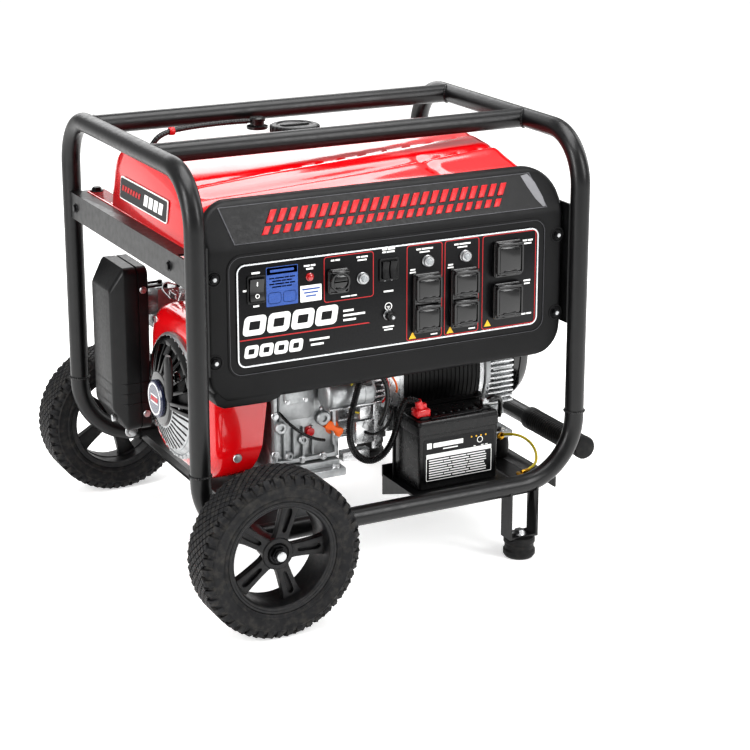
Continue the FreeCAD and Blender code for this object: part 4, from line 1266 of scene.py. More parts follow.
# ------------------------------------------------------------------ fuel tank
@dataclass
class FuelTank:
    """Pressed steel tank with a creased top, its seam flange, cap, decal and vapour line."""

    left: float = -318.0
    right: float = 317.0
    seam: float = 577.0
    stations: int = 84
    section: tuple[Flat, ...] = ((-216, 578), (-214, 612), (-203, 634), (-186, 647), (-160, 657), (-128, 668),
                                 (-60, 678), (40, 686), (100, 680), (132, 662), (147, 632), (150, 578))
    cap: Flat = (-25.0, 40.0)
    cap_radius: float = 42.0

    def build(self) -> None:
        """Builds and dresses the tank and what sits on it."""
        tank = Piece("fuel_tank_shell", RED_ENAMEL)
        tank.add(self._upper(), self._lower())
        tank.add(turned([(0, 0), (33, 0), (34, 2), (31, 5), (31, 12), (0, 12)],
                        Vector((*self.cap, 680)), Z))
        tank.place(("fuel_tank",), 40)
        flange = Piece("tank_seam_flange", RED_ENAMEL)
        flange.add(slab(rounded(602, 372, 16, (-15, -33)), "z", 575.6, 578.6, 0.6))
        for side in (-1, 1):
            flange.add(slab(rounded(32, 464, 8, (side * 303, 20)), "z", 575.2, 577.5, 0.5))
        flange.place()
        self._cap()
        self._vapour_line()
        self._decal()

    def _relief(self, x: float, y: float) -> float:
        """Rise or dip of the pressed top over the plain section.

        Args:
            x: Place along the tank.
            y: Place across it.

        Returns:
            The rise.
        """
        share = (x - self.left) / (self.right - self.left)
        groove = -178 + 66 * share ** 1.4
        dip = -6.5 * math.exp(-((y - groove) / 7.5) ** 2) + 3.0 * math.exp(-((y - groove + 15) / 8) ** 2)
        second = -150 + 100 * share ** 1.2
        dip += -3.2 * math.exp(-((y - second) / 5.5) ** 2) + 1.6 * math.exp(-((y - second + 11) / 6) ** 2)
        notch = abs(x - 126 - (y + 190) * -0.22)
        dip += -4.5 * math.exp(-(notch / 9) ** 2) * math.exp(-((y + 165) / 34) ** 2)
        valley = -9.0 * math.exp(-((x - 74) / 16) ** 2) * (1 / (1 + math.exp(-(y - 20) / 22)))
        return dip + valley

    def _upper(self) -> bmesh.types.BMesh:
        """Creased upper pressing, its left end flat and its right end leaning inwards.

        Returns:
            The closed pressing.
        """
        outline = [(point.x, point.z) for point in
                   smooth_line([(y, 0, z) for y, z in self.section], 9)]
        middle = Vector((-30.0, 600.0))
        rings = []
        for station in range(self.stations + 1):
            share = station / self.stations
            from_end = min(share, 1 - share) * (self.right - self.left)
            radius = 16.0 if share < 0.5 else 26.0
            inset = (radius - math.sqrt(radius ** 2 - max(0.0, radius - from_end) ** 2)
                     if from_end < radius else 0.0)
            ring = []
            for y, z in outline:
                pull = 1 - inset / 110
                y_in = middle.x + (y - middle.x) * pull
                z_in = self.seam + (z - self.seam) * (1 - inset / 70)
                low = self.left + 0.10 * max(0.0, z - self.seam)
                high = self.right - 0.46 * max(0.0, z - self.seam - 4)
                x = low + share * (high - low)
                rise = self._relief(x, y) if z > 620 else 0.0
                fade = min(1.0, from_end / 40)
                ring.append(Vector((x, y_in, z_in + rise * fade * min(1.0, max(0.0, (z - 620) / 14)))))
            rings.append(ring)
        return loft(rings)

    def _lower(self) -> bmesh.types.BMesh:
        """Shallow lower pressing between the channels.

        Returns:
            The closed pressing.
        """
        form = loft([[lift(p, "z", z) for p in rounded(550 - 2 * inset, 310 - 2 * inset, 30, (-13, -25))]
                     for inset, z in ((14, 526), (5, 529), (1, 535), (0, 545), (0, 577))])
        return form

    def _cap(self) -> None:
        """Gripped cap on the filler neck."""
        cap = Piece("fuel_cap_gripped", SATIN_NYLON, "filler_cap")
        at = Vector((*self.cap, 688))
        cap.add(turned([(0, 0.2), (39, 0.2), (40.4, 1.5), (40.4, 11), (38.5, 14), (34, 15.2), (31, 15.0),
                        (29, 13.4),
                        (0, 13.0)], at, Z, 72))
        grip = rod(at + Vector((39.6, 0, 1.5)), at + Vector((39.6, 0, 13)), 2.2, 0.8, 10)
        cap.add(ring_of(grip, 30, at, Z, SATIN_NYLON))
        cap.add(slab(rounded(52, 11, 5, self.cap), "z", 700.6, 703.8, 1.2))
        cap.place(("fuel_cap",))

    def _vapour_line(self) -> None:
        """Roll-over valve and the thin hose from it."""
        hose = Piece("vapour_hose", CABLE_BLACK)
        hose.add(hose_along([(-74, 126, 697), (-112, 124, 698.5), (-150, 122, 698), (-190, 118, 697),
                             (-225, 114, 694), (-243, 113, 686), (-252, 112, 672)], 4.5, CABLE_BLACK, 5.0,
                            0.03))
        hose.add(turned([(0, 0), (17, 0), (18, 1), (18, 5), (12, 7), (12, 13), (14, 14), (14, 18), (11, 20),
                         (0, 20)],
                        Vector((-55, 126, 682.5)), Z))
        hose.add(rod(Vector((-60, 126, 697)), Vector((-80, 126, 697)), 3.6, 0.8))
        hose.place(("vapour_line",))
        clip = Piece("hose_clip", BADGE_RED)
        clip.add(turned([(4.6, 0), (6.4, 0), (6.8, 1), (6.8, 8), (6.4, 9), (4.6, 9)],
                        Vector((-219, 114.5, 694.4)), X))
        clip.place()

    def _decal(self) -> None:
        """Generic label on the left end: a dark field in a white border with plain bars."""
        slope = math.atan(0.10)
        turn = Matrix.Translation(Vector((self.left + 3.0, -13, 616))) @ Matrix.Rotation(slope, 4, "Y")
        for name, finish, shapes in (
                ("end_decal_border", WHITE_INK, [(slab(rounded(206, 37, 5), "x", -0.9, 0.8))]),
                ("end_decal_field", OVERLAY_FILM, [(slab(rounded(202, 33, 4), "x", -1.4, 0.8))]),
                ("end_decal_bars", WHITE_INK, [slab(slanted(16, 18, -3, (-14 - 21 * k, 0)), "x", -1.8, 0.8)
                                               for k in range(4)]),
                ("end_decal_marks", RED_INK, [slab(slanted(8, 9, -3, (88 - 12 * k, 1)), "x", -1.8, 0.8)
                                              for k in range(7)])):
            piece = Piece(name, finish)
            for shape in shapes:
                shape.transform(turn)
                piece.add(shape)
            piece.place()


def slanted(width: float, height: float, lean: float, centre: Flat) -> list[Flat]:
    """Outline of a parallelogram that leans to the right.

    Args:
        width: Width along the foot.
        height: Height.
        lean: How far the top is pushed to the right.
        centre: Middle of the outline.

    Returns:
        The outline's points.
    """
    u, v = centre
    return [(u - width / 2 - lean / 2, v - height / 2), (u + width / 2 - lean / 2, v - height / 2),
            (u + width / 2 + lean / 2, v + height / 2), (u - width / 2 + lean / 2, v + height / 2)]


# ------------------------------------------------------------------ console
@dataclass
class Console:
    """Moulded console with its name strip, printed face plate and everything mounted on it."""

    half: float = 314.0
    bottom: float = 342.0
    top: float = 650.0
    front: float = -262.0
    back: float = -222.0
    shoulder: float = 585.0
    lean: float = 37.0
    corner: float = 50.0
    plate_z: float = 479.0
    plate: Flat = (532.0, 163.0)
    panel: float = -264.0
    print_height: float = 0.35

    def build(self) -> None:
        """Builds and dresses the console."""
        self._housing()
        self._name_strip()
        self._face_plate()
        self._prints()
        self._switches()
        self._outlets()
        self._small_parts()

    def _lean_at(self, z: float) -> float:
        """How far the front leans back at a height, with a soft knee at the shoulder.

        Args:
            z: Height.

        Returns:
            The distance back.
        """
        knee, slope = 9.0, self.lean / (self.top - self.shoulder)
        over = z - self.shoulder
        if over < -knee:
            return 0.0
        return slope * ((over + knee) ** 2 / (4 * knee) if over < knee else over)

    def _rows(self) -> list[float]:
        """Heights of the housing's rings, closer at its rims and its knee.

        Returns:
            The heights, from the bottom up.
        """
        steps = (0.0, 0.7, 2.0, 4.0, 7.0, 11.0, 16.0, 22.0, 29.0, 37.0, 50.0)
        rows = [self.bottom + step for step in steps] + [430, 470, 510, 550, 574]
        rows += [578, 582, 586, 590, 594, 598] + [self.top - step for step in reversed(steps)]
        return sorted(set(rows))

    def _housing(self) -> None:
        """Housing with corners that are round from the front and soft rims."""
        rings = []
        rim = 9.0
        for z in self._rows():
            edge = min(z - self.bottom, self.top - z)
            side = self.corner - math.sqrt(self.corner ** 2 - max(0.0, self.corner - edge) ** 2)
            inset = rim - math.sqrt(max(0.0, rim ** 2 - max(0.0, rim - edge) ** 2))
            half = self.half - side
            front, soft = self.front + self._lean_at(z) + inset, 9.0
            depth = max(self.back - front, soft + 2)
            outline = [(-half + soft * (1 - math.sin(a)), front + soft * (1 - math.cos(a)))
                       for a in (math.pi / 2 * k / 5 for k in range(5, -1, -1))]
            across = [(-half + soft + (2 * half - 2 * soft) * k / 24, front) for k in range(1, 24)]
            other = [(-u, v) for u, v in reversed(outline)]
            back = [(half, front + depth), (-half, front + depth)]
            rings.append([lift(p, "z", z) for p in outline + across + other + back])
        shell = Piece("console_moulding", GRAINED_ABS)
        shell.add(loft(rings))
        outer, inner = (rounded(562, 193, 24, (0, self.plate_z), 8),
                        rounded(555, 186, 20.5, (0, self.plate_z), 8))
        shell.add(holed_slab(outer, inner, "y", self.front - 1.3, self.front + 2, 0.5))
        for x in (-302, 302):
            for z in (412, 543):
                shell.add(turned([(10, 0), (12.6, 0), (13, 0.8), (12.6, 1.5), (11, 1.7), (10, 0.9)],
                                 Vector((x, self.front + 0.4, z)), -Y, 40))
        lip = [(-300, 366), (-306, 356), (-300, 342), (-288, 336), (-214, 335), (-196, 340), (-184, 352),
               (-184, 366)]
        shell.add(slab(lip, "y", self.front + 0.7, -226, 3.0))
        shell.place(("console_housing",), 38)
        # Thin grey ring on the recess step: a painted highlight along the step's edge.
        line = Piece("console_step_line", PAINTED_EDGE_HIGHLIGHT)
        line.add(holed_slab(rounded(555.6, 186.6, 20.8, (0, self.plate_z), 8),
                            rounded(554.2, 185.2, 20.1, (0, self.plate_z), 8), "y", self.front - 1.45,
                            self.front))
        line.place()

    def _on_lean(self) -> Matrix:
        """Place of the leaning face: X along, Y up the face and Z out of it."""
        angle = math.atan2(self.lean, self.top - self.shoulder)
        return (Matrix.Translation(Vector((0, self.front, self.shoulder)))
                @ Matrix.Rotation(math.pi / 2 - angle, 4, "X"))

    def _name_strip(self) -> None:
        """Framed strip on the leaning face, with generic raised bars and a coarse grey wedge."""
        outer = [(-266, 6), (284, 6), (266, 67), (-280, 67)]
        inner = [(-264.4, 7.2), (282, 7.2), (264.4, 65.8), (-277.6, 65.8)]
        slashes = []
        for level, tall, depth in ((44.5, 20, 2.8), (23.0, 13, 2.0)):
            bar = slab(slanted(10.5, tall, tall * 0.62, (-201 + (level - 37) * 0.62, level)), "z", 0, depth,
                       0.8)
            slashes.append(row_of(bar, 24, (17.6, 0, 0), BADGE_RED))
        wedge = [(249, 63), (262, 65), (272, 50), (280, 24), (281.5, 8), (276, 8), (266, 22), (256, 44)]
        # The frame is a real raised border; its grey colour is a painted highlight along that border.
        for name, finish, forms in (("name_strip_frame", PAINTED_EDGE_HIGHLIGHT,
                                     [holed_slab(outer, inner, "z", -2, 0.9, 0.3)]),
                                    ("name_strip", SATIN_NYLON, [slab(inner, "z", -3, 0.35)]),
                                    ("name_strip_bars", BADGE_RED, slashes),
                                    ("name_strip_wedge", GREY_ABS, [slab(wedge, "z", -2, 1.0, 0.4)])):
            piece = Piece(name, finish)
            for form in forms:
                form.transform(self._on_lean())
                piece.add(form)
            piece.place()

    def _face_plate(self) -> None:
        """Face plate with its bright outline."""
        width, height = self.plate
        plate = Piece("printed_face_plate", OVERLAY_FILM)
        plate.add(slab(rounded(width, height, 14, (0, self.plate_z), 10), "y", self.panel, self.front, 0.3))
        plate.place(("face_plate",))
        foil = Piece("face_plate_outline", SILVER_FOIL)
        foil.add(holed_slab(rounded(width - 0.6, height - 0.6, 13.7, (0, self.plate_z), 10),
                            rounded(width - 5.6, height - 5.6, 11.2, (0, self.plate_z), 10),
                            "y", self.panel - 0.5, self.panel + 0.3, 0.15))
        foil.place()

    def _patch(self, x0: float, x1: float, z0: float, z1: float, radius: float = 0.6) -> bmesh.types.BMesh:
        """Thin printed patch."""
        return slab(rounded(x1 - x0, z1 - z0, radius, ((x0 + x1) / 2, (z0 + z1) / 2), 3), "y",
                    self.panel - self.print_height, self.panel + 0.3)

    def _box(self, x0: float, x1: float, z0: float, z1: float, line: float = 1.3) -> bmesh.types.BMesh:
        """Thin printed outline.

        Args:
            x0: Left side.
            x1: Right side.
            z0: Bottom.
            z1: Top.
            line: Width of the line.

        Returns:
            The form, on the plate.
        """
        centre = ((x0 + x1) / 2, (z0 + z1) / 2)
        outer, inner = (rounded(x1 - x0, z1 - z0, 5, centre),
                        rounded(x1 - x0 - 2 * line, z1 - z0 - 2 * line, 4, centre))
        return holed_slab(outer, inner, "y", self.panel - self.print_height, self.panel + 0.3)

    def _words(self, x: float, z: float, lengths: Sequence[float],
               height: float = 2.6) -> list[bmesh.types.BMesh]:
        """Line of plain bars that stands for small print, centred on a point.

        Args:
            x: Middle of the line.
            z: Height of the line.
            lengths: Length of each bar.
            height: Height of the bars.

        Returns:
            The bars.
        """
        gap = height * 0.55
        start = x - (sum(lengths) + gap * (len(lengths) - 1)) / 2
        bars = []
        for length in lengths:
            bars.append(self._patch(start, start + length, z - height / 2, z + height / 2, 0.4))
            start += length + gap
        return bars

    def _prints(self) -> None:
        """Plain printed graphics: outlines, bars in place of figures and words, and a blue label."""
        white, red = Piece("white_prints", WHITE_INK), Piece("red_prints", RED_INK)
        blue, yellow = Piece("blue_label", BLUE_INK), Piece("yellow_prints", YELLOW_INK)
        for x0, x1, z0, z1 in ((-120, -34, 483, 556), (24, 88, 401, 557), (92, 155, 401, 557),
                               (161, 261, 401, 557)):
            red.add(self._box(x0, x1, z0, z1))
        red.add(slab([(-262, 440.4), (-262, 442.2), (-44, 442.2), (-40, 440.4)], "y", self.panel - 0.35,
                     self.panel))
        for step in range(4):
            white.add(self._figure(-237 + 40.5 * step, 463, 37, 31, 8.0))
            white.add(self._figure(-243 + 25 * step, 422, 22.5, 20, 5.2))
        for x, z, lengths, height in (
                (-78, 466, (18,), 3.4), (-68, 458.5, (38,), 3.4), (-76, 451, (22,), 3.4),
                (-128, 427, (34,), 3.4), (-132, 419, (22,), 3.4), (-234, 545, (14,), 3.2),
                (-234, 493, (10,), 3.0), (-252, 519, (7,), 3.0), (-144, 546, (10, 8), 2.8),
                (-144, 541, (12,), 2.8), (-100, 549, (6, 8), 2.8), (-54, 549, (6, 12), 2.6),
                (-54, 544, (16,), 2.4), (-8, 556, (9, 12), 2.6), (-8, 551.5, (6, 14), 2.6),
                (-8, 488, (17,), 2.8), (-8, 430, (20,), 2.4), (-8, 425.5, (15,), 2.4),
                (56, 549, (8, 20), 2.8), (56, 544, (18,), 2.2), (124, 549, (8, 20), 2.8),
                (124, 544, (18,), 2.2), (35, 517, (9,), 2.6), (35, 512.6, (11,), 2.6),
                (103, 517, (9,), 2.6), (103, 512.6, (11,), 2.6), (245, 541, (8, 9), 2.8),
                (245, 536, (14,), 2.6), (245, 474, (13,), 2.8), (245, 469, (11,), 2.6),
                (245, 418, (8, 9), 2.8), (74, 407, (12,), 2.2), (143, 407, (12,), 2.2),
                (-77, 489, (16, 10), 2.2)):
            white.add(*self._words(x, z, lengths, height))
        blue.add(self._patch(-217, -164, 489, 551, 1.5))
        white.add(self._patch(-216, -165, 539, 550, 0.8))
        for row in range(4):
            white.add(*self._words(-190.5, 533 - 4.6 * row, (9, 15, 7, 9)[row % 2:], 1.9))
        blue.add(*[self._box(-214 + 25 * k, -192 + 25 * k, 493, 511, 0.8) for k in range(2)])
        white.add(self._patch(-160, -124, 489, 515, 1.0))
        for x, z in ((35, 409), (103, 409), (172, 411)):
            yellow.add(slab([(x - 6.5, z - 5), (x + 6.5, z - 5), (x, z + 6)], "y", self.panel - 0.4,
                            self.panel))
        ring = circle(6.6, (-8, 463), 24)
        white.add(holed_slab(ring, circle(5.2, (-8, 463), 24), "y", self.panel - 0.35, self.panel + 0.3))
        for half_bar, z in ((3.2, 463), (2.2, 461.2), (1.2, 459.6)):
            white.add(self._patch(-8 - half_bar, -8 + half_bar, z - 0.5, z + 0.5, 0.2))
        white.place()
        red.place()
        blue.place()
        yellow.place()
        label = Piece("blue_label_print", BLUE_INK)
        for row in range(3):
            label.add(slab(rounded(30 - 6 * row, 2.4, 0.8, (-142, 509 - 5.5 * row), 3), "y", self.panel - 0.6,
                           self.panel))
        label.add(slab(rounded(40, 4.2, 1.2, (-190.5, 544.6), 3), "y", self.panel - 0.6, self.panel))
        label.place()

    def _figure(self, x: float, z: float, width: float, height: float, line: float) -> bmesh.types.BMesh:
        """Leaning round-cornered block with a slot, which stands for a large figure.

        Args:
            x: Middle.
            z: Height of the middle.
            width: Width.
            height: Height.
            line: Width of its strokes.

        Returns:
            The form, on the plate.
        """
        lean = 0.16
        outer = [(u + (v - z) * lean, v) for u, v in rounded(width, height, height * 0.24, (x, z))]
        inner = [(u + (v - z) * lean, v)
                 for u, v in rounded(width - 2.4 * line, height - 2.2 * line, 1.6, (x, z))]
        return holed_slab(outer, inner, "y", self.panel - self.print_height, self.panel + 0.3)

    def _switches(self) -> None:
        """Start rocker, twin main breaker and the three breaker buttons."""
        bezels = Piece("switch_bezels", SATIN_NYLON)
        bezels.add(holed_slab(rounded(31, 44, 3.5, (-234, 519.5)), rounded(25, 37, 1.5, (-234, 519.5)), "y",
                              self.panel - 3.2, self.panel, 0.8))
        bezels.add(holed_slab(rounded(34, 36, 2.5, (-8, 524)), rounded(27, 29, 1.2, (-8, 524)), "y",
                              self.panel - 3.2, self.panel, 0.8))
        bezels.place()
        for node, body, finish, halves in (("start_rocker", "start_switch", GLOSS_NYLON, ((0.0, 1.0),)),
                                           ("main_breaker_rocker", "main_breaker", SATIN_NYLON,
                                            ((-0.26, 0.46), (0.26, 0.46)))):
            low, high = node_box(node)
            wide, middle = high.x - low.x, (low + high) / 2
            rocker = Piece(f"{node}_dished", finish, body)
            tall = high.z - low.z
            face = [(low.y, middle.z + tall * 0.47), (low.y + 1.9, middle.z + tall * 0.2),
                    (low.y + 2.6, middle.z),
                    (low.y + 1.9, middle.z - tall * 0.2), (low.y, middle.z - tall * 0.47),
                    (low.y + 3, low.z + 0.3), (high.y - 1, low.z + 4), (high.y - 1, high.z - 4),
                    (low.y + 3, high.z - 0.3)]
            for offset, share in halves:
                x = middle.x + offset * wide
                rocker.add(slab(face, "x", x - wide * share / 2 + 0.3, x + wide * share / 2 - 0.3, 0.5))
            rocker.place((node,))
        marks = Piece("rocker_marks", WHITE_INK, "start_switch")
        marks.add(slab(rounded(1.8, 7, 0.8, (-234, 529), 3), "y", -270.4, -268.5))
        marks.add(holed_slab(circle(3.6, (-234, 510), 20), circle(2.4, (-234, 510), 20), "y", -270.2, -268.5))
        marks.place()
        collars = Piece("breaker_collars", ZINC)
        for x, z in ((-54, 515), (61, 529), (129, 529)):
            at = Vector((x, self.panel, z))
            collars.add(turned([(5.4, 0), (9.5, 0), (9.5, 1.6), (8.4, 2.2), (8.0, 7.4), (7.2, 8), (5.4, 8)],
                               at, -Y, 32))
            ridge = rod(at + Vector((8.2, -2.4, 0)), at + Vector((8.0, -7.4, 0)), 0.7, 0.2, 8)
            collars.add(ring_of(ridge, 20, at, Y, ZINC))
        collars.place()
        for node, body in (("dc_breaker_button", "dc_breaker"), ("ac_breaker_button_1", "ac_breaker_1"),
                           ("ac_breaker_button_2", "ac_breaker_2")):
            low, high = node_box(node)
            at = Vector(((low.x + high.x) / 2, high.y, (low.z + high.z) / 2))
            button = Piece(f"{node}_capped", CLEAR_CAP, body)
            button.add(turned([(0, 0), (4.6, 0), (5, 0.5), (5, 9.6), (4.4, 11.4), (3.0, 12.3), (0, 12.4)],
                              at, -Y, 28))
            button.place((node,))

    def _outlets(self) -> None:
        """Outlet bodies, and a hinged cover with a lip and a tab on each opening."""
        bodies = Piece("outlet_bodies", GLOSS_NYLON)
        for x, z, wide, tall in ((-98, 517, 36, 40), (57.5, 462, 49, 98), (125.5, 462, 49, 98),
                                 (205, 517, 52, 60),
                                 (205, 447, 52, 60)):
            bodies.add(slab(rounded(wide, tall, 5, (x, z)), "y", -271.5, self.panel, 1.2))
            bodies.add(holed_slab(rounded(wide - 2, tall - 2, 4.5, (x, z)),
                                  rounded(wide - 7, tall - 7, 3, (x, z)),
                                  "y", -274, -270, 0.7))
        for x in (57.5, 125.5):
            bodies.add(slab(rounded(46, 5, 1.5, (x, 462)), "y", -273.8, -268, 0.8))
        bodies.place(("panel_devices",))
        for node, body in (("dc_socket_cover", "dc_cover"), ("duplex_1_cover_upper", "duplex_1_upper"),
                           ("duplex_1_cover_lower", "duplex_1_lower"),
                           ("duplex_2_cover_upper", "duplex_2_upper"),
                           ("duplex_2_cover_lower", "duplex_2_lower"), ("twist_lock_1_cover", "twist_lock_1"),
                           ("twist_lock_2_cover", "twist_lock_2")):
            self._cover(node, body)

    def _cover(self, node: str, body: str) -> None:
        """Hinged cover: a dished leaf in a raised rim, a knuckle above and a finger tab below.

        Args:
            node: CAD node that it stands for.
            body: CAD body that it rides on.
        """
        low, high = node_box(node)
        middle, wide, tall = (low + high) / 2, high.x - low.x, high.z - low.z
        is_round = node.startswith("dc_")
        corner = wide * 0.44 if is_round else 6.0
        leaf = (middle.x, middle.z - 0.4)
        cover = Piece(f"{node}_moulded", GLOSS_NYLON, body)
        cover.add(slab(rounded(wide, tall - 5, corner, leaf, 8), "y", low.y + 1.7, high.y - 0.1, 0.8))
        cover.add(holed_slab(rounded(wide - 0.6, tall - 5.6, corner - 0.3, leaf, 8),
                             rounded(wide - 7, tall - 12, max(1.0, corner - 3), leaf, 8), "y", low.y,
                             low.y + 2.4, 0.7))
        cover.add(slab(rounded(wide - 11, tall - 16, max(1.0, corner - 4), leaf, 8), "y", low.y + 0.7,
                       low.y + 2.4, 0.6))
        cover.add(rod(Vector((low.x + 2, middle.y, high.z - 2.8)),
                      Vector((high.x - 2, middle.y, high.z - 2.8)), 2.5))
        ledge = [(high.y, high.z - 3.4), (low.y + 0.6, high.z - 9.6), (low.y, high.z - 11.2),
                 (low.y + 2.4, high.z - 12.6),
                 (high.y, high.z - 12.6)]
        cover.add(slab(ledge, "x", low.x + 1.6, high.x - 1.6, 0.5))
        tab = [(middle.x + wide * 0.24 * math.cos(a), low.z + 4.2 + 3.9 * math.sin(a))
               for a in (math.pi + math.pi * k / 10 for k in range(11))]
        cover.add(slab(tab + [(middle.x + wide * 0.24, low.z + 9), (middle.x - wide * 0.24, low.z + 9)], "y",
                       low.y + 0.1, high.y - 1.2, 0.7))
        cover.place((node,))

    def _small_parts(self) -> None:
        """Warning lamp, ground stud and knob, and two small screws."""
        lamp = Piece("low_oil_lens", LAMP_RED)
        lamp.add(turned([(0, 0), (6.5, 0), (6.5, 1.4), (5.4, 1.8), (5.2, 3.4), (4.4, 4.9), (2.6, 5.8),
                         (0, 6)],
                        Vector((-144, self.panel, 528)), -Y, 32))
        lamp.place(("low_oil_lamp",))
        stud = Piece("ground_stud", ZINC)
        stud.add(rod(Vector((-8, self.panel + 1, 449)), Vector((-8, -282, 449)), 2.9, 0.8))
        stud.add(bolts_at([((-8, self.panel, 449), -Y)], 6.6, 3.6, ZINC))
        stud.add(bolts_at([((x, self.panel, 507), -Y) for x in (-14, -2)], 2.0, 0.9, ZINC))
        stud.place()
        knob = Piece("ground_knob_gripped", SATIN_NYLON, "ground_nut")
        at = Vector((-8, -268, 449))
        knob.add(turned([(3.1, 0), (7, 0), (7.4, 0.6), (7.4, 7.6), (6, 9.4), (3.1, 9.8)], at, -Y, 32))
        knob.add(ring_of(rod(at + Vector((7.3, -0.8, 0)), at + Vector((7.3, -8, 0)), 0.7, 0.3, 8), 16, at, Y,
                         SATIN_NYLON))
        knob.place(("ground_knob",))


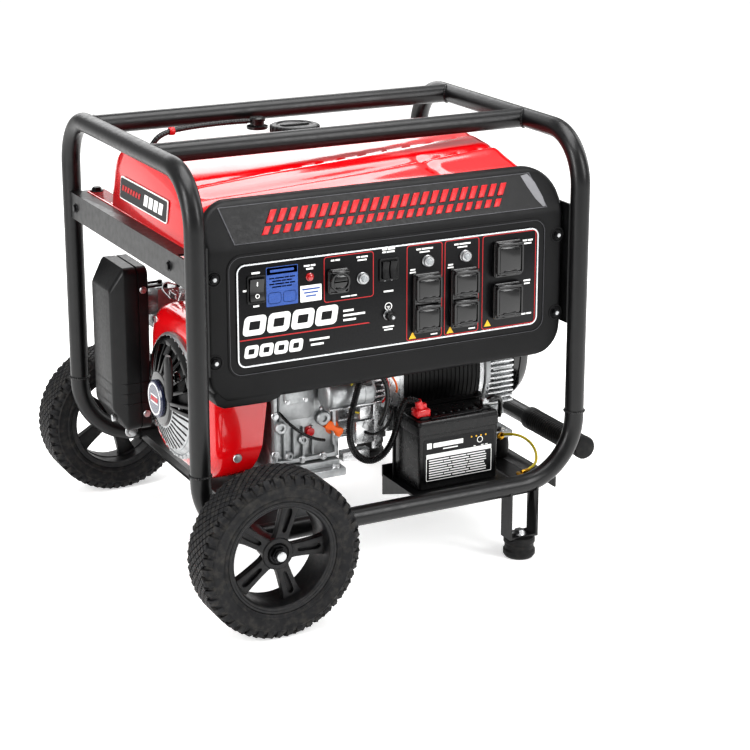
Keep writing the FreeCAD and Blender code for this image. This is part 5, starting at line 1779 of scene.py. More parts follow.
# ------------------------------------------------------------------ engine
@dataclass
class FanEnd:
    """Fan shroud, recoil starter, air cleaner, carburettor and levers at the left end."""

    axis: Flat = (-10.0, 280.0)
    shroud_face: float = -264.0
    recoil_radius: float = 106.0
    recoil_face: float = -300.0
    cleaner: tuple[Flat, Flat, Flat] = ((-330, -264), (112, 224), (182, 470))

    def build(self) -> None:
        """Builds and dresses the left end of the engine."""
        self._shroud()
        self._recoil()
        self._cleaner()
        recast("carburettor", DIE_CAST)
        recast("choke_lever", SATIN_NYLON, "choke")
        recast("fuel_valve_lever", SATIN_NYLON, "fuel_valve")
        dress("flywheel", DIE_CAST)
        dress("crankshaft", GROUND_STEEL)
        self._linkage()

    def _shroud(self) -> None:
        """Pressed shroud with a big round on its front and a hollow right edge."""
        rings = []
        for level, inset in ((0.0, 30), (2.0, 20), (6.0, 12), (12.0, 6), (20.0, 2), (30.0, 0), (60.0, 0),
                             (100.0, 0),
                             (113.0, 0)):
            outline = rounded(258 - 2 * inset, 263 - 2 * inset, 64 - inset * 0.6, (-1, 283.5), 10)
            ring = []
            for y, z in outline:
                tuck = 30 * max(0.0, min(1.0, (300 - z) / 130)) ** 1.3 if level > 90 else 0.0
                ring.append(Vector((self.shroud_face + level - tuck, y, z)))
            rings.append(ring)
        shroud = Piece("fan_shroud_pressing", SHROUD_ENAMEL)
        shroud.add(loft(rings))
        shroud.place(("fan_shroud",), 50)
        edge = Piece("shroud_bolts", ZINC)
        edge.add(bolts_at([((-212, -130, 200), -Y), ((-190, -130, 372), -Y),
                           ((-250, -108, 392), -X + Z * 0.3),
                           ((-262, -112, 190), -X), ((-262, 96, 200), -X), ((-262, 90, 384), -X)], 6, 5,
                          ZINC))
        edge.place()

    def _sweep(self, profile: Sequence[Flat], start: float, end: float, steps: int = 40) -> bmesh.types.BMesh:
        """Profile swept round the crank axis between two angles, in degrees.

        Args:
            profile: Closed outline as (radius, distance outwards).
            start: First angle.
            end: Last angle.
            steps: Chords along the sweep.

        Returns:
            The form, faces outwards.
        """
        rings = []
        for step in range(steps + 1):
            turn = math.radians(start + (end - start) * step / steps)
            rings.append([Vector((self.shroud_face - along, self.axis[0] + radius * math.cos(turn),
                                  self.axis[1] + radius * math.sin(turn))) for radius, along in profile])
        return loft(rings)

    def _recoil(self) -> None:
        """Recoil cover: a gloss hood with ribs above, a cast grille below with its slots and hollow in
        painted shade, and a badge.
        """
        hub = Vector((self.shroud_face, *self.axis))
        # Near-black dish behind the grille: painted shade in the cover's hollow, over the flywheel.
        dark = Piece("recoil_cavity", STATOR_BLACK_AND_SHADE)
        dark.add(turned([(0, 0), (103, 0), (103, 3), (88, 12), (60, 20), (0, 23)], hub, -X, 64))
        dark.place()
        grille = Piece("recoil_grille", DIE_CAST)
        grille.add(self._sweep([(96, 0), (105.6, 0), (105.6, 6), (103, 9), (99, 10), (96, 8)], 0, 359.9, 96))
        grille.add(self._sweep([(84, 9), (90, 9), (90, 15.5), (87, 17), (84, 17)], 176, 364))
        grille.add(self._sweep([(60, 18), (65, 18), (65, 24.5), (62.5, 25.5), (60, 25)], 176, 364))
        grille.add(self._sweep([(33, 20), (42, 20), (42, 31), (38, 34), (33, 34)], 176, 364))
        place = Matrix(((0, -1, 0, hub.x), (1, 0, 0, hub.y), (0, 0, 1, hub.z), (0, 0, 0, 1)))
        grille.add(self._sweep([(34, 22), (34, 32.5), (46, 31), (66, 25), (88, 16), (97, 9), (97, 2),
                                (60, 12)], 188, 352))
        peg = rod(hub + Vector((-9.5, 100.5, 0)), hub + Vector((-11, 100.5, 0)), 2.2, 0.4, 10)
        grille.add(ring_of(peg, 36, hub, X, DIE_CAST))
        grille.place(("recoil_cover",))
        # Near-black slabs in the grille stand for its slots: painted shade in the openings.
        slots = Piece("recoil_slots", STATOR_BLACK_AND_SHADE)
        cut = slab([(49, 27), (68, 21.5), (86, 14), (87, 17.2), (68, 25.0), (50, 30.6)], "z", -2.0, 2.0, 0.8)
        cut.transform(place)
        cut.transform(self._about(-168))
        slots.add(ring_of(cut, 17, hub, X, STATOR_BLACK_AND_SHADE, math.radians(166)))
        slots.place()
        hood = Piece("recoil_hood", GLOSS_NYLON)
        hood.add(self._sweep([(88, 4), (101.5, 4), (101.5, 9), (99, 12.5), (94, 15.5), (88, 16.5)], -6, 186))
        hood.add(self._sweep([(30, 24), (47, 24), (47, 31), (44, 34.5), (38, 35.6), (30, 35.6)], 0, 359.9,
                             80))
        arm = [(44, 24), (66, 16), (92, 8), (95, 14.5), (70, 26), (44, 34)]
        arms = []
        for turn in range(0, 181, 30):
            for lean in (-7.5, 7.5):
                form = slab(arm, "z", -3.4, 3.4, 1.4)
                form.transform(place)
                form.transform(self._about(turn + lean * (1 if turn % 60 else 0.6)))
                arms.append(form)
        hood.add(*arms)
        shell = [(70, 14), (90, 5), (91, 13), (72, 23.5)]
        for turn in (20, 80, 140):
            hood.add(self._sweep(shell, turn, turn + 20, 10))
        hood.add(turned([(3.4, 0), (9, 0), (10, 2), (9, 6), (6, 8), (3.4, 8)],
                        Vector((self.recoil_face + 6, -88, 338)), -X, 28))
        hood.place()
        badge = Piece("recoil_badge", BADGE_NAVY)
        badge.add(turned([(0, 34), (30, 34), (31.5, 36), (31.5, 40), (29, 42.6), (0, 42.8)], hub, -X, 64))
        badge.place()
        ring = Piece("badge_ring", WHITE_INK)
        ring.add(turned([(24.6, 42.2), (26.6, 42.2), (26.6, 42.95), (24.6, 42.95)], hub, -X, 64))
        for drop in (-6, 6):
            ring.add(slab(rounded(30, 1.6, 0.7, (self.axis[0], self.axis[1] + drop)), "x", hub.x - 42.98,
                          hub.x - 42))
        ring.place()
        bars = Piece("badge_bars", BADGE_RED)
        for step in range(4):
            bars.add(slab(slanted(5.5, 7.5, -2, (self.axis[0] - 12 + 8 * step, self.axis[1])), "x",
                          hub.x - 42.99,
                          hub.x - 42))
        bars.place()
        grip = Piece("starter_grip_moulded", SATIN_NYLON, "starter_grip")
        low, high = node_box("recoil_grip")
        middle = (low + high) / 2
        rings = []
        for share in (0.0, 0.02, 0.08, 0.2, 0.35, 0.5, 0.65, 0.8, 0.92, 0.98, 1.0):
            swell = 0.72 + 0.28 * math.sin(math.pi * share) if 0.05 < share < 0.95 else 0.55
            z = low.z + (high.z - low.z) * share
            rings.append([Vector((middle.x + (high.x - low.x) / 2 * swell * math.cos(a),
                                  middle.y + (high.y - low.y) / 2 * swell * math.sin(a), z))
                          for a in (2 * math.pi * k / 20 for k in range(20))])
        grip.add(loft(rings))
        grip.place(("recoil_grip",))

    def _about(self, degrees: float) -> Matrix:
        """Turn about the crank axis."""
        hub = Vector((self.shroud_face, *self.axis))
        return Matrix.Translation(hub) @ Matrix.Rotation(math.radians(degrees), 4,
                                                         "X") @ Matrix.Translation(-hub)

    def _cleaner(self) -> None:
        """Air cleaner: a deep cover with a broad chamfer, ribs, a wing nut and its bracket."""
        (x0, x1), (y0, y1), (z0, z1) = self.cleaner
        wide, tall, middle = y1 - y0, z1 - z0, ((y0 + y1) / 2, (z0 + z1) / 2)
        case = Piece("air_cleaner_cover", SATIN_NYLON)
        rings = []
        for x, side, end, radius in ((x1, 4, 4, 12), (x1 - 2, 1, 1, 14), (x1 - 18, 1, 1, 14),
                                     (x1 - 18.5, 3, 3, 13),
                                     (x1 - 21, 3, 3, 13), (x1 - 21.5, 1, 1, 14), (x0 + 24, 1, 1, 12),
                                     (x0 + 21, 2, 4, 11), (x0 + 3, 11, 34, 8), (x0 + 0.8, 13, 38, 7),
                                     (x0, 15, 41, 6)):
            rings.append([lift(p, "x", x)
                          for p in rounded(wide - 2 * side, tall - 2 * end, radius, middle, 8)])
        case.add(loft(rings))
        for level in (268, 250, 232):
            outer = [(x0, y0 + 15), (x0, y1 - 15), (x0 + 21, y1 - 1), (x1 - 6, y1 - 0.2), (x1 - 6, y0 + 0.2),
                     (x0 + 21, y0 + 0.8)]
            middle_x, middle_y = (x0 + x1) / 2, middle[0]
            inner = [(middle_x + (u - middle_x) * 0.94, middle_y + (v - middle_y) * 0.96) for u, v in outer]
            case.add(holed_slab(outer, inner, "z", level - 0.9, level + 0.9, 0.4))
        case.place(("air_cleaner_case",), 40)
        nut = Piece("air_cleaner_wing_nut", ZINC)
        at = Vector((x0 + 1.0, y0 + 22, z0 + 24))
        nut.add(turned([(0, -4), (6, -4), (6, 0.4), (4, 0.8), (0, 0.8)], at, -X, 24))
        nut.add(bolts_at([((x1 - 10, y0, z1 - 40), -Y), ((x1 - 10, y0, z0 + 30), -Y)], 5, 4, ZINC))
        nut.place()

    def _linkage(self) -> None:
        """Governor rods, a spring, a throttle lever and the fuel hose near the carburettor."""
        steel = Piece("governor_linkage", ZINC)
        steel.add(pipe(smooth_line([(-214, 112, 432), (-232, 118, 436), (-244, 100, 430), (-246, 60, 424)]),
                       1.3, 8))
        steel.add(pipe(smooth_line([(-190, 96, 420), (-214, 84, 428), (-240, 40, 426)]), 1.2, 8))
        coil = [(-236 + 0.5 * k, 96 - 1.7 * k + 3.2 * math.cos(k * 1.05), 430 + 3.2 * math.sin(k * 1.05))
                for k in range(42)]
        steel.add(pipe([Vector(p) for p in coil], 0.6, 6))
        steel.add(slab(rounded(36, 10, 4, (78, 424)), "x", -236, -233.5, 0.5))
        steel.add(bolts_at([((-236, 64, 424), -X), ((-236, 92, 424), -X)], 3.4, 2.6, ZINC))
        steel.place()
        hose = Piece("fuel_hose", CABLE_BLACK)
        hose.add(hose_along([(-196, 150, 420), (-206, 132, 452), (-196, 96, 478), (-170, 70, 500),
                             (-150, 60, 530)],
                            5.5, CABLE_BLACK, 6, 0.02))
        hose.place()


@dataclass
class EngineBlock:
    """Castings, cylinder, muffler, starter and the wiring that crosses them."""

    tilt: float = math.radians(25.0)
    head: tuple[float, float, float] = (-90.0, 151.3, 355.2)
    front: float = -128.0

    def build(self) -> None:
        """Builds and dresses the block."""
        recast("crankcase", DIE_CAST)
        self._front_cover()
        self._cylinder()
        self._muffler()
        self._starter()
        self._dipstick()
        self._small_boxes()
        self._wires()

    def _front_cover(self) -> None:
        """Details on the block's front: gasket flange, bosses, ribs, a cover and its bolts."""
        y = self.front
        cast = Piece("crankcase_front", DIE_CAST)
        flange = [(-149, 176), (-32, 176), (-32, 190), (-36, 196), (-36, 300), (-44, 340), (-70, 352),
                  (-149, 352)]
        inner = [(-142, 183), (-39, 183), (-39, 194), (-43, 199), (-43, 298), (-50, 334), (-73, 345),
                 (-142, 345)]
        cast.add(holed_slab(flange, inner, "y", y - 5, y + 2, 1.2))
        cast.add(slab([(-140, 252), (-86, 252), (-78, 262), (-78, 326), (-92, 340), (-140, 340)], "y",
                      y - 9, y, 2.4))
        cast.add(slab(rounded(42, 30, 6, (-112, 296)), "y", y - 15, y - 6, 2.0))
        for x, z, radius, out in ((-138, 242, 11, 13), (-60, 246, 13, 10), (-96, 214, 9, 8),
                                  (-52, 316, 9, 12),
                                  (-122, 190, 8, 9)):
            cast.add(turned([(0, 0), (radius, 0), (radius - 0.6, out - 2), (radius - 2.4, out),
                             (radius * 0.42, out),
                             (radius * 0.36, out - 4), (0, out - 4)], Vector((x, y, z)), -Y, 32))
        rib = slab([(-132, 186), (-129, 186), (-129, 236), (-132, 236)], "y", y - 7, y, 0.8)
        cast.add(row_of(rib, 4, (17, 0, 0), DIE_CAST))
        cast.add(block((-156, y - 22, 146), (-26, y + 14, 160), 2.5),
                 block((-150, y - 10, 160), (-32, y + 6, 172), 2.0))
        fin = block((-150, -122, 352), (-34, -40, 354.4), 0.7)
        cast.add(row_of(fin, 4, (0, 5, 7.5), DIE_CAST))
        cast.place()
        bolts = Piece("crankcase_bolts", ZINC)
        places = [(-146, 196), (-146, 262), (-146, 330), (-34, 212), (-34, 262), (-50, 345), (-98, 349),
                  (-98, 180),
                  (-60, 180)]
        bolts.add(bolts_at([((x, y - 5, z), -Y) for x, z in places], 5.4, 5, ZINC))
        bolts.add(bolts_at([((x, y - 15, z), -Y) for x in (-128, -96) for z in (286, 306)], 3.6, 3, ZINC))
        bolts.add(bolts_at([((-142, y - 12, 160), Z), ((-40, y - 12, 160), Z)], 7, 6, ZINC))
        bolts.place()

    def _cylinder(self) -> None:
        """Cooling fins round the tilted cylinder, the head and its cover."""
        tilt = Matrix.Translation(Vector(self.head)) @ Matrix.Rotation(self.tilt, 4, "X")
        fins = Piece("cylinder_fins", LINISHED)
        fin = slab(rounded(118, 116, 14), "y", -78, -75.8, 0.5)
        stack = row_of(fin, 9, (0, 6.4, 0), LINISHED)
        head_fin = slab(rounded(122, 124, 12), "y", -22, -19.6, 0.5)
        head_stack = row_of(head_fin, 5, (0, 6.8, 0), LINISHED)
        for form in (stack, head_stack):
            form.transform(tilt)
            fins.add(form)
        fins.place()
        head = Piece("cylinder_head_cover", DIE_CAST)
        parts = [slab(rounded(108, 116, 10), "y", -23, 12, 2.0),
                 slab(rounded(98, 104, 16), "y", 10, 21, 4.5, 3),
                 slab(rounded(60, 14, 6, (0, 20)), "y", 20, 23, 1.2)]
        for form in parts:
            form.transform(tilt)
            head.add(form)
        head.place(("cylinder_head",))
        bolts = Piece("head_bolts", ZINC)
        normal = (tilt.to_3x3() @ Y).normalized()
        bolts.add(bolts_at([(tilt @ Vector((x, 13, z)), normal) for x in (-47, 47) for z in (-50, 50)], 5.6,
                           5, ZINC))
        bolts.add(rod(tilt @ Vector((-22, 8, -30)), tilt @ Vector((-22, 26, -52)), 7, 1))
        bolts.place()

    def _muffler(self) -> None:
        """Welded can with a rolled seam, a slotted guard and its pipe."""
        can = Piece("muffler_can", MUFFLER_STEEL)
        can.add(slab(rounded(96, 106, 26, (186, 407), 8), "x", -9, 204, 5, 3))
        for x in (-6, 96, 198):
            can.add(holed_slab(rounded(100, 110, 28, (186, 407), 8), rounded(92, 102, 24, (186, 407), 8),
                               "x", x - 1.6,
                               x + 1.6, 0.5))
        can.add(pipe(smooth_line([(-36, 168, 392), (-20, 168, 392), (0, 170, 394)], 4), 12, 20))
        can.place(("muffler",))
        guard = Piece("muffler_guard", BLACK_OXIDE)
        slot = slab(rounded(5, 52, 2.4, (12, 407)), "y", 234.6, 236, 0.4)
        guard.add(row_of(slot, 14, (13, 0, 0), BLACK_OXIDE))
        top = slab(rounded(5, 52, 2.4, (12, 186)), "z", 460.6, 462, 0.4)
        guard.add(row_of(top, 14, (13, 0, 0), BLACK_OXIDE))
        guard.place()

    def _starter(self) -> None:
        """Starter motor with its end caps, through bolts and solenoid."""
        motor = Piece("starter_motor_body", DIE_CAST)
        at = Vector((-72, -156, 292))
        motor.add(turned([(0, 0), (18, 0), (22, 2), (25, 5), (26.6, 8), (26.6, 20), (25.4, 20.6), (25.4, 66),
                          (26.6, 66.6), (26.6, 80), (25, 84), (20, 88), (0, 90)], at, X, 48))
        motor.place(("starter_motor",))
        dark = Piece("starter_solenoid", SATIN_NYLON)
        dark.add(turned([(0, 0), (13, 0), (15, 1.5), (15, 46), (13, 48), (8, 50), (0, 50)],
                        Vector((-58, -150, 334)), X, 32))
        dark.add(block((-14, -172, 322), (12, -146, 352), 2.5))
        dark.place()
        metal = Piece("starter_hardware", ZINC)
        metal.add(bolts_at([((-8, -166, 336), X), ((-8, -146, 340), X), ((-74, -156, 312), -X),
                            ((-74, -156, 272), -X)],
                           4, 3.6, ZINC))
        metal.add(*[rod(Vector((-70, -156 + 21 * s, 292 + 18 * s)),
                        Vector((16, -156 + 21 * s, 292 + 18 * s)), 2.2)
                    for s in (-1, 1)])
        metal.place()

    def _dipstick(self) -> None:
        """Orange dipstick with a two-winged head."""
        low, high = node_box("oil_dipstick")
        at = Vector(((low.x + high.x) / 2, low.y, (low.z + high.z) / 2))
        reach = (high.x - low.x) / 2
        piece = Piece("oil_dipstick_winged", ORANGE_NYLON, "dipstick")
        piece.add(turned([(0, 14), (11, 14), (13, 15), (13, 21), (9, 23), (9, 50), (0, 50)], at, Y, 32))
        wing = [(reach * share, rise) for share,
                rise in ((1.0, 0), (0.96, 5.4), (0.8, 8.2), (0.55, 7.4), (0.3, 5.0),
                                                         (0.0, 4.2))]
        outline = wing + [(-u, v) for u, v in reversed(wing[:-1])] + [(-u, -v) for u, v in wing[1:]]
        outline += [(u, -v) for u, v in reversed(wing[1:-1])]
        form = slab(outline, "y", 0.6, 15, 2.2, 3)
        form.transform(Matrix.Translation(at) @ Matrix.Rotation(math.radians(38), 4, "Y"))
        piece.add(form)
        piece.place(("oil_dipstick",))

    def _small_boxes(self) -> None:
        """Oil sensor, regulator and brackets in front of the block."""
        metal = Piece("sensor_brackets", LINISHED)
        metal.add(block((-8, -150, 196), (26, -132, 236), 2.0), block((-4, -156, 240), (18, -134, 262), 2.0))
        metal.add(block((-30, -146, 168), (20, -128, 184), 1.6))
        metal.add(slab([(28, 180), (44, 180), (52, 300), (40, 330), (30, 330)], "y", -140, -136, 0.8))
        louvre = slab([(-152, 262), (-140, 268), (-140, 272), (-152, 266)], "x", -6, 44, 0.6)
        metal.add(row_of(louvre, 8, (2.5, 0, 9.5), LINISHED))
        metal.add(block((-10, -142, 256), (-4, -134, 344), 1.4), block((44, -148, 250), (76, -136, 344), 3.0))
        metal.place()
        caps = Piece("oil_filler_cap", RED_BOOT)
        caps.add(turned([(0, 0), (9, 0), (9, 3), (7, 4), (7, 8), (0, 8)], Vector((-84, -128, 226)), -Y, 24))
        caps.place()
        nuts = Piece("sensor_screws", ZINC)
        nuts.add(bolts_at([((8, -150, 204), -Y), ((8, -150, 228), -Y), ((38, -140, 196), -Y),
                           ((38, -140, 312), -Y)],
                          4.4, 3.4, ZINC))
        nuts.place()

    def _wires(self) -> None:
        """Loom, thick leads and thin wires, held by the engine all the way."""
        loom = Piece("battery_loom", CABLE_BLACK)
        loom.add(hose_along([(-14, -190, 341), (-30, -194, 300), (-44, -194, 255), (-42, -194, 208),
                             (-10, -192, 176),
                             (26, -190, 184), (46, -190, 222), (50, -192, 262), (64, -196, 284),
                             (80, -204, 272)],
                            5.2, CABLE_BLACK, 3.2, 0.12, 16))
        loom.place(("battery_lead",))
        leads = Piece("engine_leads", CABLE_BLACK)
        for points, radius in ((((-10, -176, 340), (20, -186, 330), (34, -190, 300), (30, -188, 262),
                                 (20, -180, 236)), 4.0),
                               (((-96, -140, 316), (-70, -168, 330), (-30, -186, 322), (6, -180, 306),
                                 (30, -160, 296)), 3.2),
                               (((-140, -134, 268), (-128, -160, 246), (-100, -162, 224), (-66, -150, 214)),
                                2.6),
                               (((-60, -150, 352), (-40, -186, 356), (0, -204, 350), (40, -210, 346)), 4.4),
                               (((8, -150, 216), (24, -168, 206), (44, -172, 226), (52, -168, 258)), 2.4)):
            leads.add(hose_along(points, radius, CABLE_BLACK, 5, 0.02, 12))
        leads.place()
        for name, finish, points in (
                ("yellow_wire", EARTH_YELLOW,
                 ((-4, -152, 252), (-30, -170, 262), (-48, -168, 286), (-20, -176, 322))),
                ("red_wire", RED_BOOT, ((18, -158, 336), (40, -176, 318), (46, -178, 292), (30, -170, 270))),
                ("orange_wire", ORANGE_NYLON,
                 ((24, -158, 330), (46, -172, 322), (60, -170, 300), (62, -160, 280)))):
            wire = Piece(name, finish)
            wire.add(hose_along(points, 1.7, finish, 5, 0.01, 10))
            wire.place()


@dataclass
class Alternator:
    """Adaptor casting, laminated stator with its long bolts, end bell and end cover."""

    axis: Flat = (-10.0, 280.0)
    radius: float = 116.0
    start: float = -30.0
    stator: Flat = (54.0, 250.0)
    bell_end: float = 312.0
    cover_centre: Flat = (-18.0, 296.0)
    cover_radius: float = 102.0

    def _on_axis(self, x: float) -> Vector:
        """Point on the shaft's axis."""
        return Vector((x, *self.axis))

    def build(self) -> None:
        """Builds and dresses the alternator."""
        self._adaptor()
        self._stator()
        self._bell()
        self._cover()
        dress("rotor", STATOR_BLACK_AND_SHADE)

    def _adaptor(self) -> None:
        """Flared casting with radial ribs between two flanges."""
        at = self._on_axis(self.start)
        piece = Piece("alternator_adaptor_ribbed", LINISHED)
        piece.add(turned([(40, 0), (104, 0), (108, 2), (108, 8), (98, 12), (98, 66), (114, 70), (119, 72),
                          (119.6, 74),
                          (119.6, 82), (118, 84), (40, 84)], at, X, 96))
        rib = block(at + Vector((9, 92, -1.8)), at + Vector((72, 113, 1.8)), 1.0)
        piece.add(ring_of(rib, 26, at, X, LINISHED))
        piece.place(("alternator_adaptor",))
        bolts = Piece("adaptor_bolts", ZINC)
        places = [(math.cos(a), math.sin(a)) for a in (math.pi / 4 + math.pi / 2 * k for k in range(4))]
        bolts.add(bolts_at([(at + Vector((71, 108 * u, 108 * v)), -X) for u, v in places], 7, 6, ZINC))
        bolts.place()

    def _stator(self) -> None:
        """Laminations between clamp rings, with four long bolts outside."""
        low, high = self.stator
        long = high - low
        at = self._on_axis(low)
        piece = Piece("stator_laminations", STATOR_BLACK_AND_SHADE)
        profile = [(86, 0), (114.5, 0)]
        for step in range(1, 24):
            x = long * step / 24
            profile += [(114.5, x - 1.2), (113.4, x - 0.6), (113.4, x + 0.6), (114.5, x + 1.2)]
        piece.add(turned(profile + [(114.5, long), (86, long)], at, X, 96))
        piece.place(("stator",))
        clamp = Piece("stator_clamps", LINISHED)
        for x in (0.5, long - 9):
            clamp.add(turned([(108, x), (116, x), (116, x + 8), (108, x + 8)], at, X, 96))
        clamp.add(block((low + 6, -127, 200), (low + 40, -116, 330), 2.0))
        clamp.place()
        bolts = Piece("stator_bolts", ZINC)
        for turn in (35, 145, 215, 325):
            out = Vector((0, math.cos(math.radians(turn)), math.sin(math.radians(turn)))) * 117
            bolts.add(rod(at + out + X * -10, at + out + X * (long + 10), 3.2, 0.6, 16))
        bolts.place()

    def _bell(self) -> None:
        """Cast end bell with a stack of louvres on its front and its foot."""
        at = self._on_axis(self.stator[1])
        long = self.bell_end - self.stator[1]
        piece = Piece("end_bell_cast", DIE_CAST)
        piece.add(turned([(60, 0), (118, 0), (119.6, 1.5), (119.6, 10), (116, 12), (112, 16),
                          (112, long - 10),
                          (106, long - 2), (100, long), (60, long)], at, X, 96))
        louvre = block(at + Vector((15, 104, -2.6)), at + Vector((long - 8, 118.6, 2.6)), 1.6)
        piece.add(ring_of(louvre, 44, at, X, DIE_CAST))
        piece.add(block((252, -160, 165), (288, 140, 178), 2.4))
        plate = [(-100, 186), (-60, 176), (40, 176), (80, 186), (70, 214), (-90, 214)]
        piece.add(slab(plate, "x", self.bell_end - 30, self.bell_end - 6, 2.0))
        piece.place(("alternator_end_bell",))
        slats = Piece("end_bell_slats", LINISHED)
        slat = slab([(-128, 218), (-116, 222), (-116, 225), (-128, 221)], "x", 256, 306, 0.5)
        slats.add(row_of(slat, 11, (0, 0, 9), LINISHED))
        slats.place()
        bolts = Piece("end_bell_bolts", ZINC)
        bolts.add(bolts_at([((270, y, 178), Z) for y in (-150, 130)], 8, 7, ZINC))
        bolts.add(bolts_at([((307, 60 * u - 10, 60 * v + 280), X) for u,
                            v in ((1.75, 0), (-1.75, 0), (0, -1.75))], 5, 4,
                           ZINC))
        bolts.place()

    def _cover(self) -> None:
        """Black drum cover with stepped rims and cooling slots in its face."""
        at = Vector((self.bell_end, *self.cover_centre))
        piece = Piece("end_cover_drum", GLOSS_NYLON)
        piece.add(turned([(0, 0), (102, 0), (102, 8), (99, 9), (99, 13), (101, 14), (101, 24), (98, 30),
                          (92, 33.4),
                          (84, 34), (82, 31), (40, 31), (38, 33.6), (0, 33.6)], at, X, 96))
        rib = block(at + Vector((29.5, 44, -1.6)), at + Vector((33.4, 80, 1.6)), 0.8)
        piece.add(ring_of(rib, 24, at, X, GLOSS_NYLON))
        piece.place(("alternator_end_cover",))
        screws = Piece("end_cover_screws", ZINC)
        screws.add(bolts_at([(at + Vector((31, 88 * math.cos(a), 88 * math.sin(a))), X)
                             for a in (math.pi / 2 * k + 0.5 for k in range(4))], 3.6, 2.6, ZINC))
        screws.place()


# ------------------------------------------------------------------ battery and handle
@dataclass
class BatteryBay:
    """Starter battery, its label, tray, hold-down, terminals and earth wire."""

    low: tuple[float, float, float] = (66.0, -230.0, 127.0)
    high: tuple[float, float, float] = (218.0, -140.0, 246.0)
    lid: float = 222.0

    def build(self) -> None:
        """Builds and dresses the battery bay."""
        self._case()
        self._label()
        self._terminals()
        recast("battery_tray", POWDER_COAT)
        recast("battery_hold_down", POWDER_COAT)
        bolts = Piece("hold_down_bolts", BLACK_OXIDE)
        bolts.add(bolts_at([((62, -152, 249), Z), ((222, -152, 249), Z)], 6, 6, BLACK_OXIDE))
        bolts.add(bolts_at([((x, -259.3, 118), -Y) for x in (66, 218)], 6, 5, BLACK_OXIDE))
        bolts.place()
        wire = Piece("earth_lead", EARTH_YELLOW)
        wire.add(hose_along([(262, -160, 172), (272, -188, 184), (298, -199, 172), (306, -215, 146),
                             (290, -231, 132.4), (262, -235, 130.4)], 2.4, EARTH_YELLOW, 6, 0.01, 12))
        wire.place(("earth_wire",))
        lugs = Piece("earth_lugs", BRASS)
        for start, end in (((265, -168.5, 175.6), (261.8, -162.4, 173)),
                           ((276, -233, 131.4), (260, -235.2, 130.4))):
            lugs.add(rod(Vector(start), Vector(end), 3.1, 0.8, 16))
        lugs.add(slab(circle(6.5, (257, -235.5), 24), "z", 127.6, 130.2, 0.4))
        lugs.add(slab(circle(6.5, (261.8, 171.5), 24), "y", -164.4, -161.6, 0.4))
        lugs.place()

    def _case(self) -> None:
        """Case with a stepped lid, corner rounds, side ribs and vent plugs."""
        (x0, y0, z0), (x1, y1, z1) = self.low, self.high
        middle = ((x0 + x1) / 2, (y0 + y1) / 2)
        wide, deep = x1 - x0, y1 - y0
        case = Piece("battery_case_moulded", BATTERY_CASE)
        rings = []
        for z, inset in ((z0, 3.5), (z0 + 1, 2.4), (z0 + 4, 1.8), (self.lid - 4, 1.4), (self.lid - 1, 1.4),
                         (self.lid, 0.2), (self.lid + 1, 0), (z1 - 8, 0), (z1 - 7, 0.8), (z1 - 3, 1.2),
                         (z1 - 0.8, 2.4),
                         (z1 - 0.2, 4.0), (z1, 6)):
            rings.append([lift(p, "z", z) for p in rounded(wide - 2 * inset, deep - 2 * inset, 5, middle)])
        case.add(loft(rings))
        case.add(block((x0 + 28, y0 + 8, z1 - 1), (x1 - 28, y1 - 24, z1 + 2.2), 1.4))
        case.add(block((x0 + 10, y0 + 12, z1 - 2), (x0 + 28, y0 + 38, z1 + 4), 1.8),
                 block((x1 - 28, y0 + 12, z1 - 2), (x1 - 8, y0 + 38, z1 + 4), 1.8))
        plug = turned([(0, 0), (5.5, 0), (6, 0.8), (6, 2.6), (5, 3.4), (0, 3.4)],
                      Vector((x0 + 40, y0 + 24, z1 + 1)), Z, 24)
        case.add(row_of(plug, 6, (14.5, 0, 0), BATTERY_CASE))
        case.place(("battery",))

    def _label(self) -> None:
        """Label: white frame, solid title bar and plain lines."""
        y = self.low[1] + 1.4
        x0, x1, z0, z1 = 76.0, 209.0, 138.0, 214.0
        centre = ((x0 + x1) / 2, (z0 + z1) / 2)
        field = Piece("battery_label_field", OVERLAY_FILM)
        field.add(slab(rounded(x1 - x0, z1 - z0, 3, centre), "y", y - 0.5, y + 0.4))
        field.place()
        prints = Piece("battery_label_prints", WHITE_INK)
        def patch(a: float, b: float, c: float, d: float) -> bmesh.types.BMesh:
            """Thin white patch between two x and two z."""
            return slab(rounded(b - a, d - c, 0.5, ((a + b) / 2, (c + d) / 2), 3), "y", y - 0.8, y)
        prints.add(holed_slab(rounded(124, 40, 2, (142.5, 162)), rounded(121.6, 37.6, 1.4, (142.5, 162)),
                              "y", y - 0.8, y))
        prints.add(patch(81, 204, 182, 188.5))
        prints.add(patch(82, 91, 198, 208), patch(94, 150, 199, 207), patch(112, 140, 194, 196))
        prints.add(holed_slab(circle(5.5, (182, 200), 28), circle(4.4, (182, 200), 28), "y", y - 0.8, y))
        for row in range(8):
            widths = ((40, 32, 36), (28, 50, 32), (44, 26, 40), (36, 40, 34), (46, 28, 32))[row % 5]
            start = 86.0
            for width in widths:
                prints.add(patch(start, start + width * 0.95, 176.4 - 4.3 * row, 178.4 - 4.3 * row))
                start += width
        for column in range(3):
            prints.add(patch(170, 174 + 6 * column, 189.5 - 0.1, 190.8) if column == 0
                       else patch(176 + 8 * column, 181 + 8 * column, 189.4, 190.8))
        prints.place()
        marks = Piece("battery_label_marks", YELLOW_INK)
        for step in range(4):
            marks.add(slab(circle(1.5, (166 + 9 * step, 207), 16), "y", y - 0.8, y))
        marks.place()

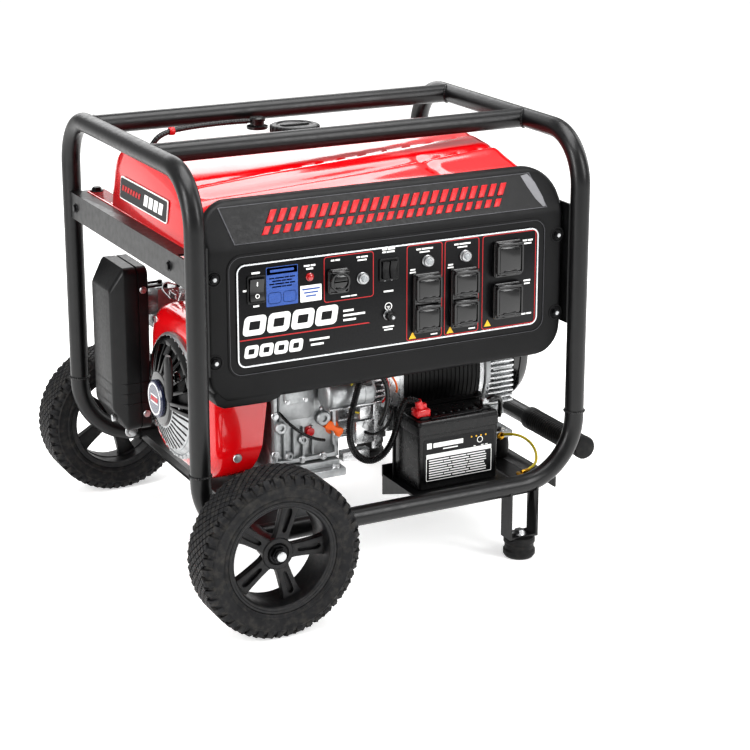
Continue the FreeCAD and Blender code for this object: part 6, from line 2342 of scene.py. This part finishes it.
    def _terminals(self) -> None:
        """Red boot on one post, and a bare lug and bolt on the other."""
        z1 = self.high[2]
        boot = Piece("terminal_boot", RED_BOOT)
        boot.add(block((72, -214, z1 + 1), (98, -190, 262), 3.5, 3))
        boot.add(turned([(0, 0), (7.4, 0), (8, 2), (7.4, 12), (6.2, 18), (5.8, 24), (0, 24)],
                        Vector((86, -202, 254)), Vector((-0.35, -0.15, 0.9)).normalized(), 24))
        boot.add(block((76, -208, 258), (94, -196, 270), 2.6, 3))
        boot.place()
        lug = Piece("terminal_lug", ZINC)
        lug.add(block((198, -210, 250), (210, -198, 259), 1.2))
        lug.add(bolts_at([((204, -204, 258), Z)], 4.6, 3.6, ZINC))
        lug.place()
        lead = Piece("negative_lead", CABLE_BLACK)
        lead.add(hose_along([(210, -204, 256), (226, -206, 262), (240, -196, 256), (248, -184, 236),
                             (250, -176, 214)],
                            4.2, CABLE_BLACK, 5, 0.02, 14))
        lead.place()


@dataclass
class Handle:
    """Swinging handle with its ribbed grip."""

    x: float = 374.0
    z: float = 160.0
    grip: Flat = (-255.0, -75.2)
    grip_radius: float = 20.0

    def build(self) -> None:
        """Builds and dresses the handle."""
        recast("handle_tube", POWDER_COAT, "handle")
        piece = Piece("handle_grip_ribbed", SOFT_RUBBER, "handle")
        start, end = self.grip
        long, wide = end - start, self.grip_radius
        profile = [(0, 0), (wide - 5, 0), (wide - 1.5, 1), (wide, 3.5), (wide, 12)]
        for step in range(24):
            at = 14 + step * (long - 32) / 24
            profile += [(wide - 0.4, at), (wide - 1.8, at + 1.4), (wide - 1.8, at + 2.8),
                        (wide - 0.4, at + 4.2)]
        profile += [(wide, long - 12), (wide, long - 2), (wide - 1, long), (16.1, long), (16.1, long - 6),
                    (0, long - 6)]
        piece.add(turned(profile, Vector((self.x, start, self.z)), Y, 48))
        piece.place(("handle_grip",))


# ------------------------------------------------------------------ studio
@dataclass
class Studio:
    """Pale floor, soft lights and the camera."""

    azimuth: float = -27.23
    elevation: float = 15.88
    distance: float = 3.4772
    target: tuple[float, float, float] = (0.09775, 0.0, 0.39204)
    lens: float = 97.48
    shift_y: float = -0.1

    def build(self) -> None:
        """Builds the floor, the world, the lights and the camera."""
        self._floor()
        world = bpy.data.worlds.new("studio")
        world.use_nodes = True
        world.node_tree.nodes["Background"].inputs["Color"].default_value = linear("#ffffff")
        world.node_tree.nodes["Background"].inputs["Strength"].default_value = 0.45
        bpy.context.scene.world = world
        bpy.context.scene.view_settings.view_transform = "Standard"
        bpy.context.scene.view_settings.look = "Medium High Contrast"
        for name, place, size, power in (("top_box", (0.1, -0.2, 2.6), (2.6, 1.5), 60.0),
                                         ("front_box", (1.6, -3.0, 2.2), (1.0, 2.4), 62.0),
                                         ("left_box", (-3.0, -0.6, 1.6), (0.9, 2.2), 62.0),
                                         ("back_box", (0.6, 3.0, 1.8), (2.4, 1.4), 24.0),
                                         ("right_box", (3.0, 0.4, 1.6), (1.2, 2.0), 20.0)):
            self._light(name, Vector(place), size, power)
        self._camera()

    def _floor(self) -> None:
        """Large pale floor."""
        form = bmesh.new()
        bmesh.ops.create_grid(form, x_segments=8, y_segments=8, size=30.0)
        floor = bpy.data.objects.new("studio_floor", to_mesh(form, "studio_floor"))
        paper = Finish("studio_paper", "#f6f6f5", "tyre", "#f1f1f0", roughness=0.8, cloud_mm=400,
                       cloud=0.3).material()
        glow = paper.node_tree.nodes["Principled BSDF"].inputs
        glow["Emission Color"].default_value = linear("#ffffff")
        glow["Emission Strength"].default_value = 0.42
        floor.data.materials.append(paper)
        bpy.context.scene.collection.objects.link(floor)

    def _light(self, name: str, place: Vector, size: Flat, power: float) -> None:
        """Soft rectangular light that faces the generator.

        Args:
            name: Name of the light.
            place: Where it hangs, in metres.
            size: Width and height.
            power: Watts.
        """
        lamp = bpy.data.lights.new(name, "AREA")
        lamp.shape, lamp.size, lamp.size_y, lamp.energy = "RECTANGLE", size[0], size[1], power
        obj = bpy.data.objects.new(name, lamp)
        obj.location = place
        obj.rotation_euler = (place - Vector((0, 0, 0.35))).to_track_quat("Z", "Y").to_euler()
        bpy.context.scene.collection.objects.link(obj)

    def _camera(self) -> None:
        """Long lens from the front left, a little above."""
        turn, rise = math.radians(self.azimuth), math.radians(self.elevation)
        way = Vector((math.sin(turn) * math.cos(rise), -math.cos(turn) * math.cos(rise), math.sin(rise)))
        data = bpy.data.cameras.new("camera")
        data.lens, data.sensor_width, data.shift_y = self.lens, 36.0, self.shift_y
        data.clip_end = 100.0
        camera = bpy.data.objects.new("camera", data)
        camera.location = Vector(self.target) + way * self.distance
        camera.rotation_euler = way.to_track_quat("Z", "Y").to_euler()
        bpy.context.scene.collection.objects.link(camera)
        bpy.context.scene.camera = camera


def main() -> None:
    """Builds the generator's sub-assemblies in order, then the studio."""
    logging.basicConfig(level=logging.INFO, format="%(message)s")
    parts: tuple = (TubeFrame(), Wheel(-1, "front_wheel"), Wheel(1, "back_wheel"), FuelTank(), Console(),
                    FanEnd(),
                    EngineBlock(), Alternator(), BatteryBay(), Handle(), Studio())
    for part in parts:
        LOG.info("building %s", type(part).__name__)
        part.build()


if __name__ == "__main__":
    main()
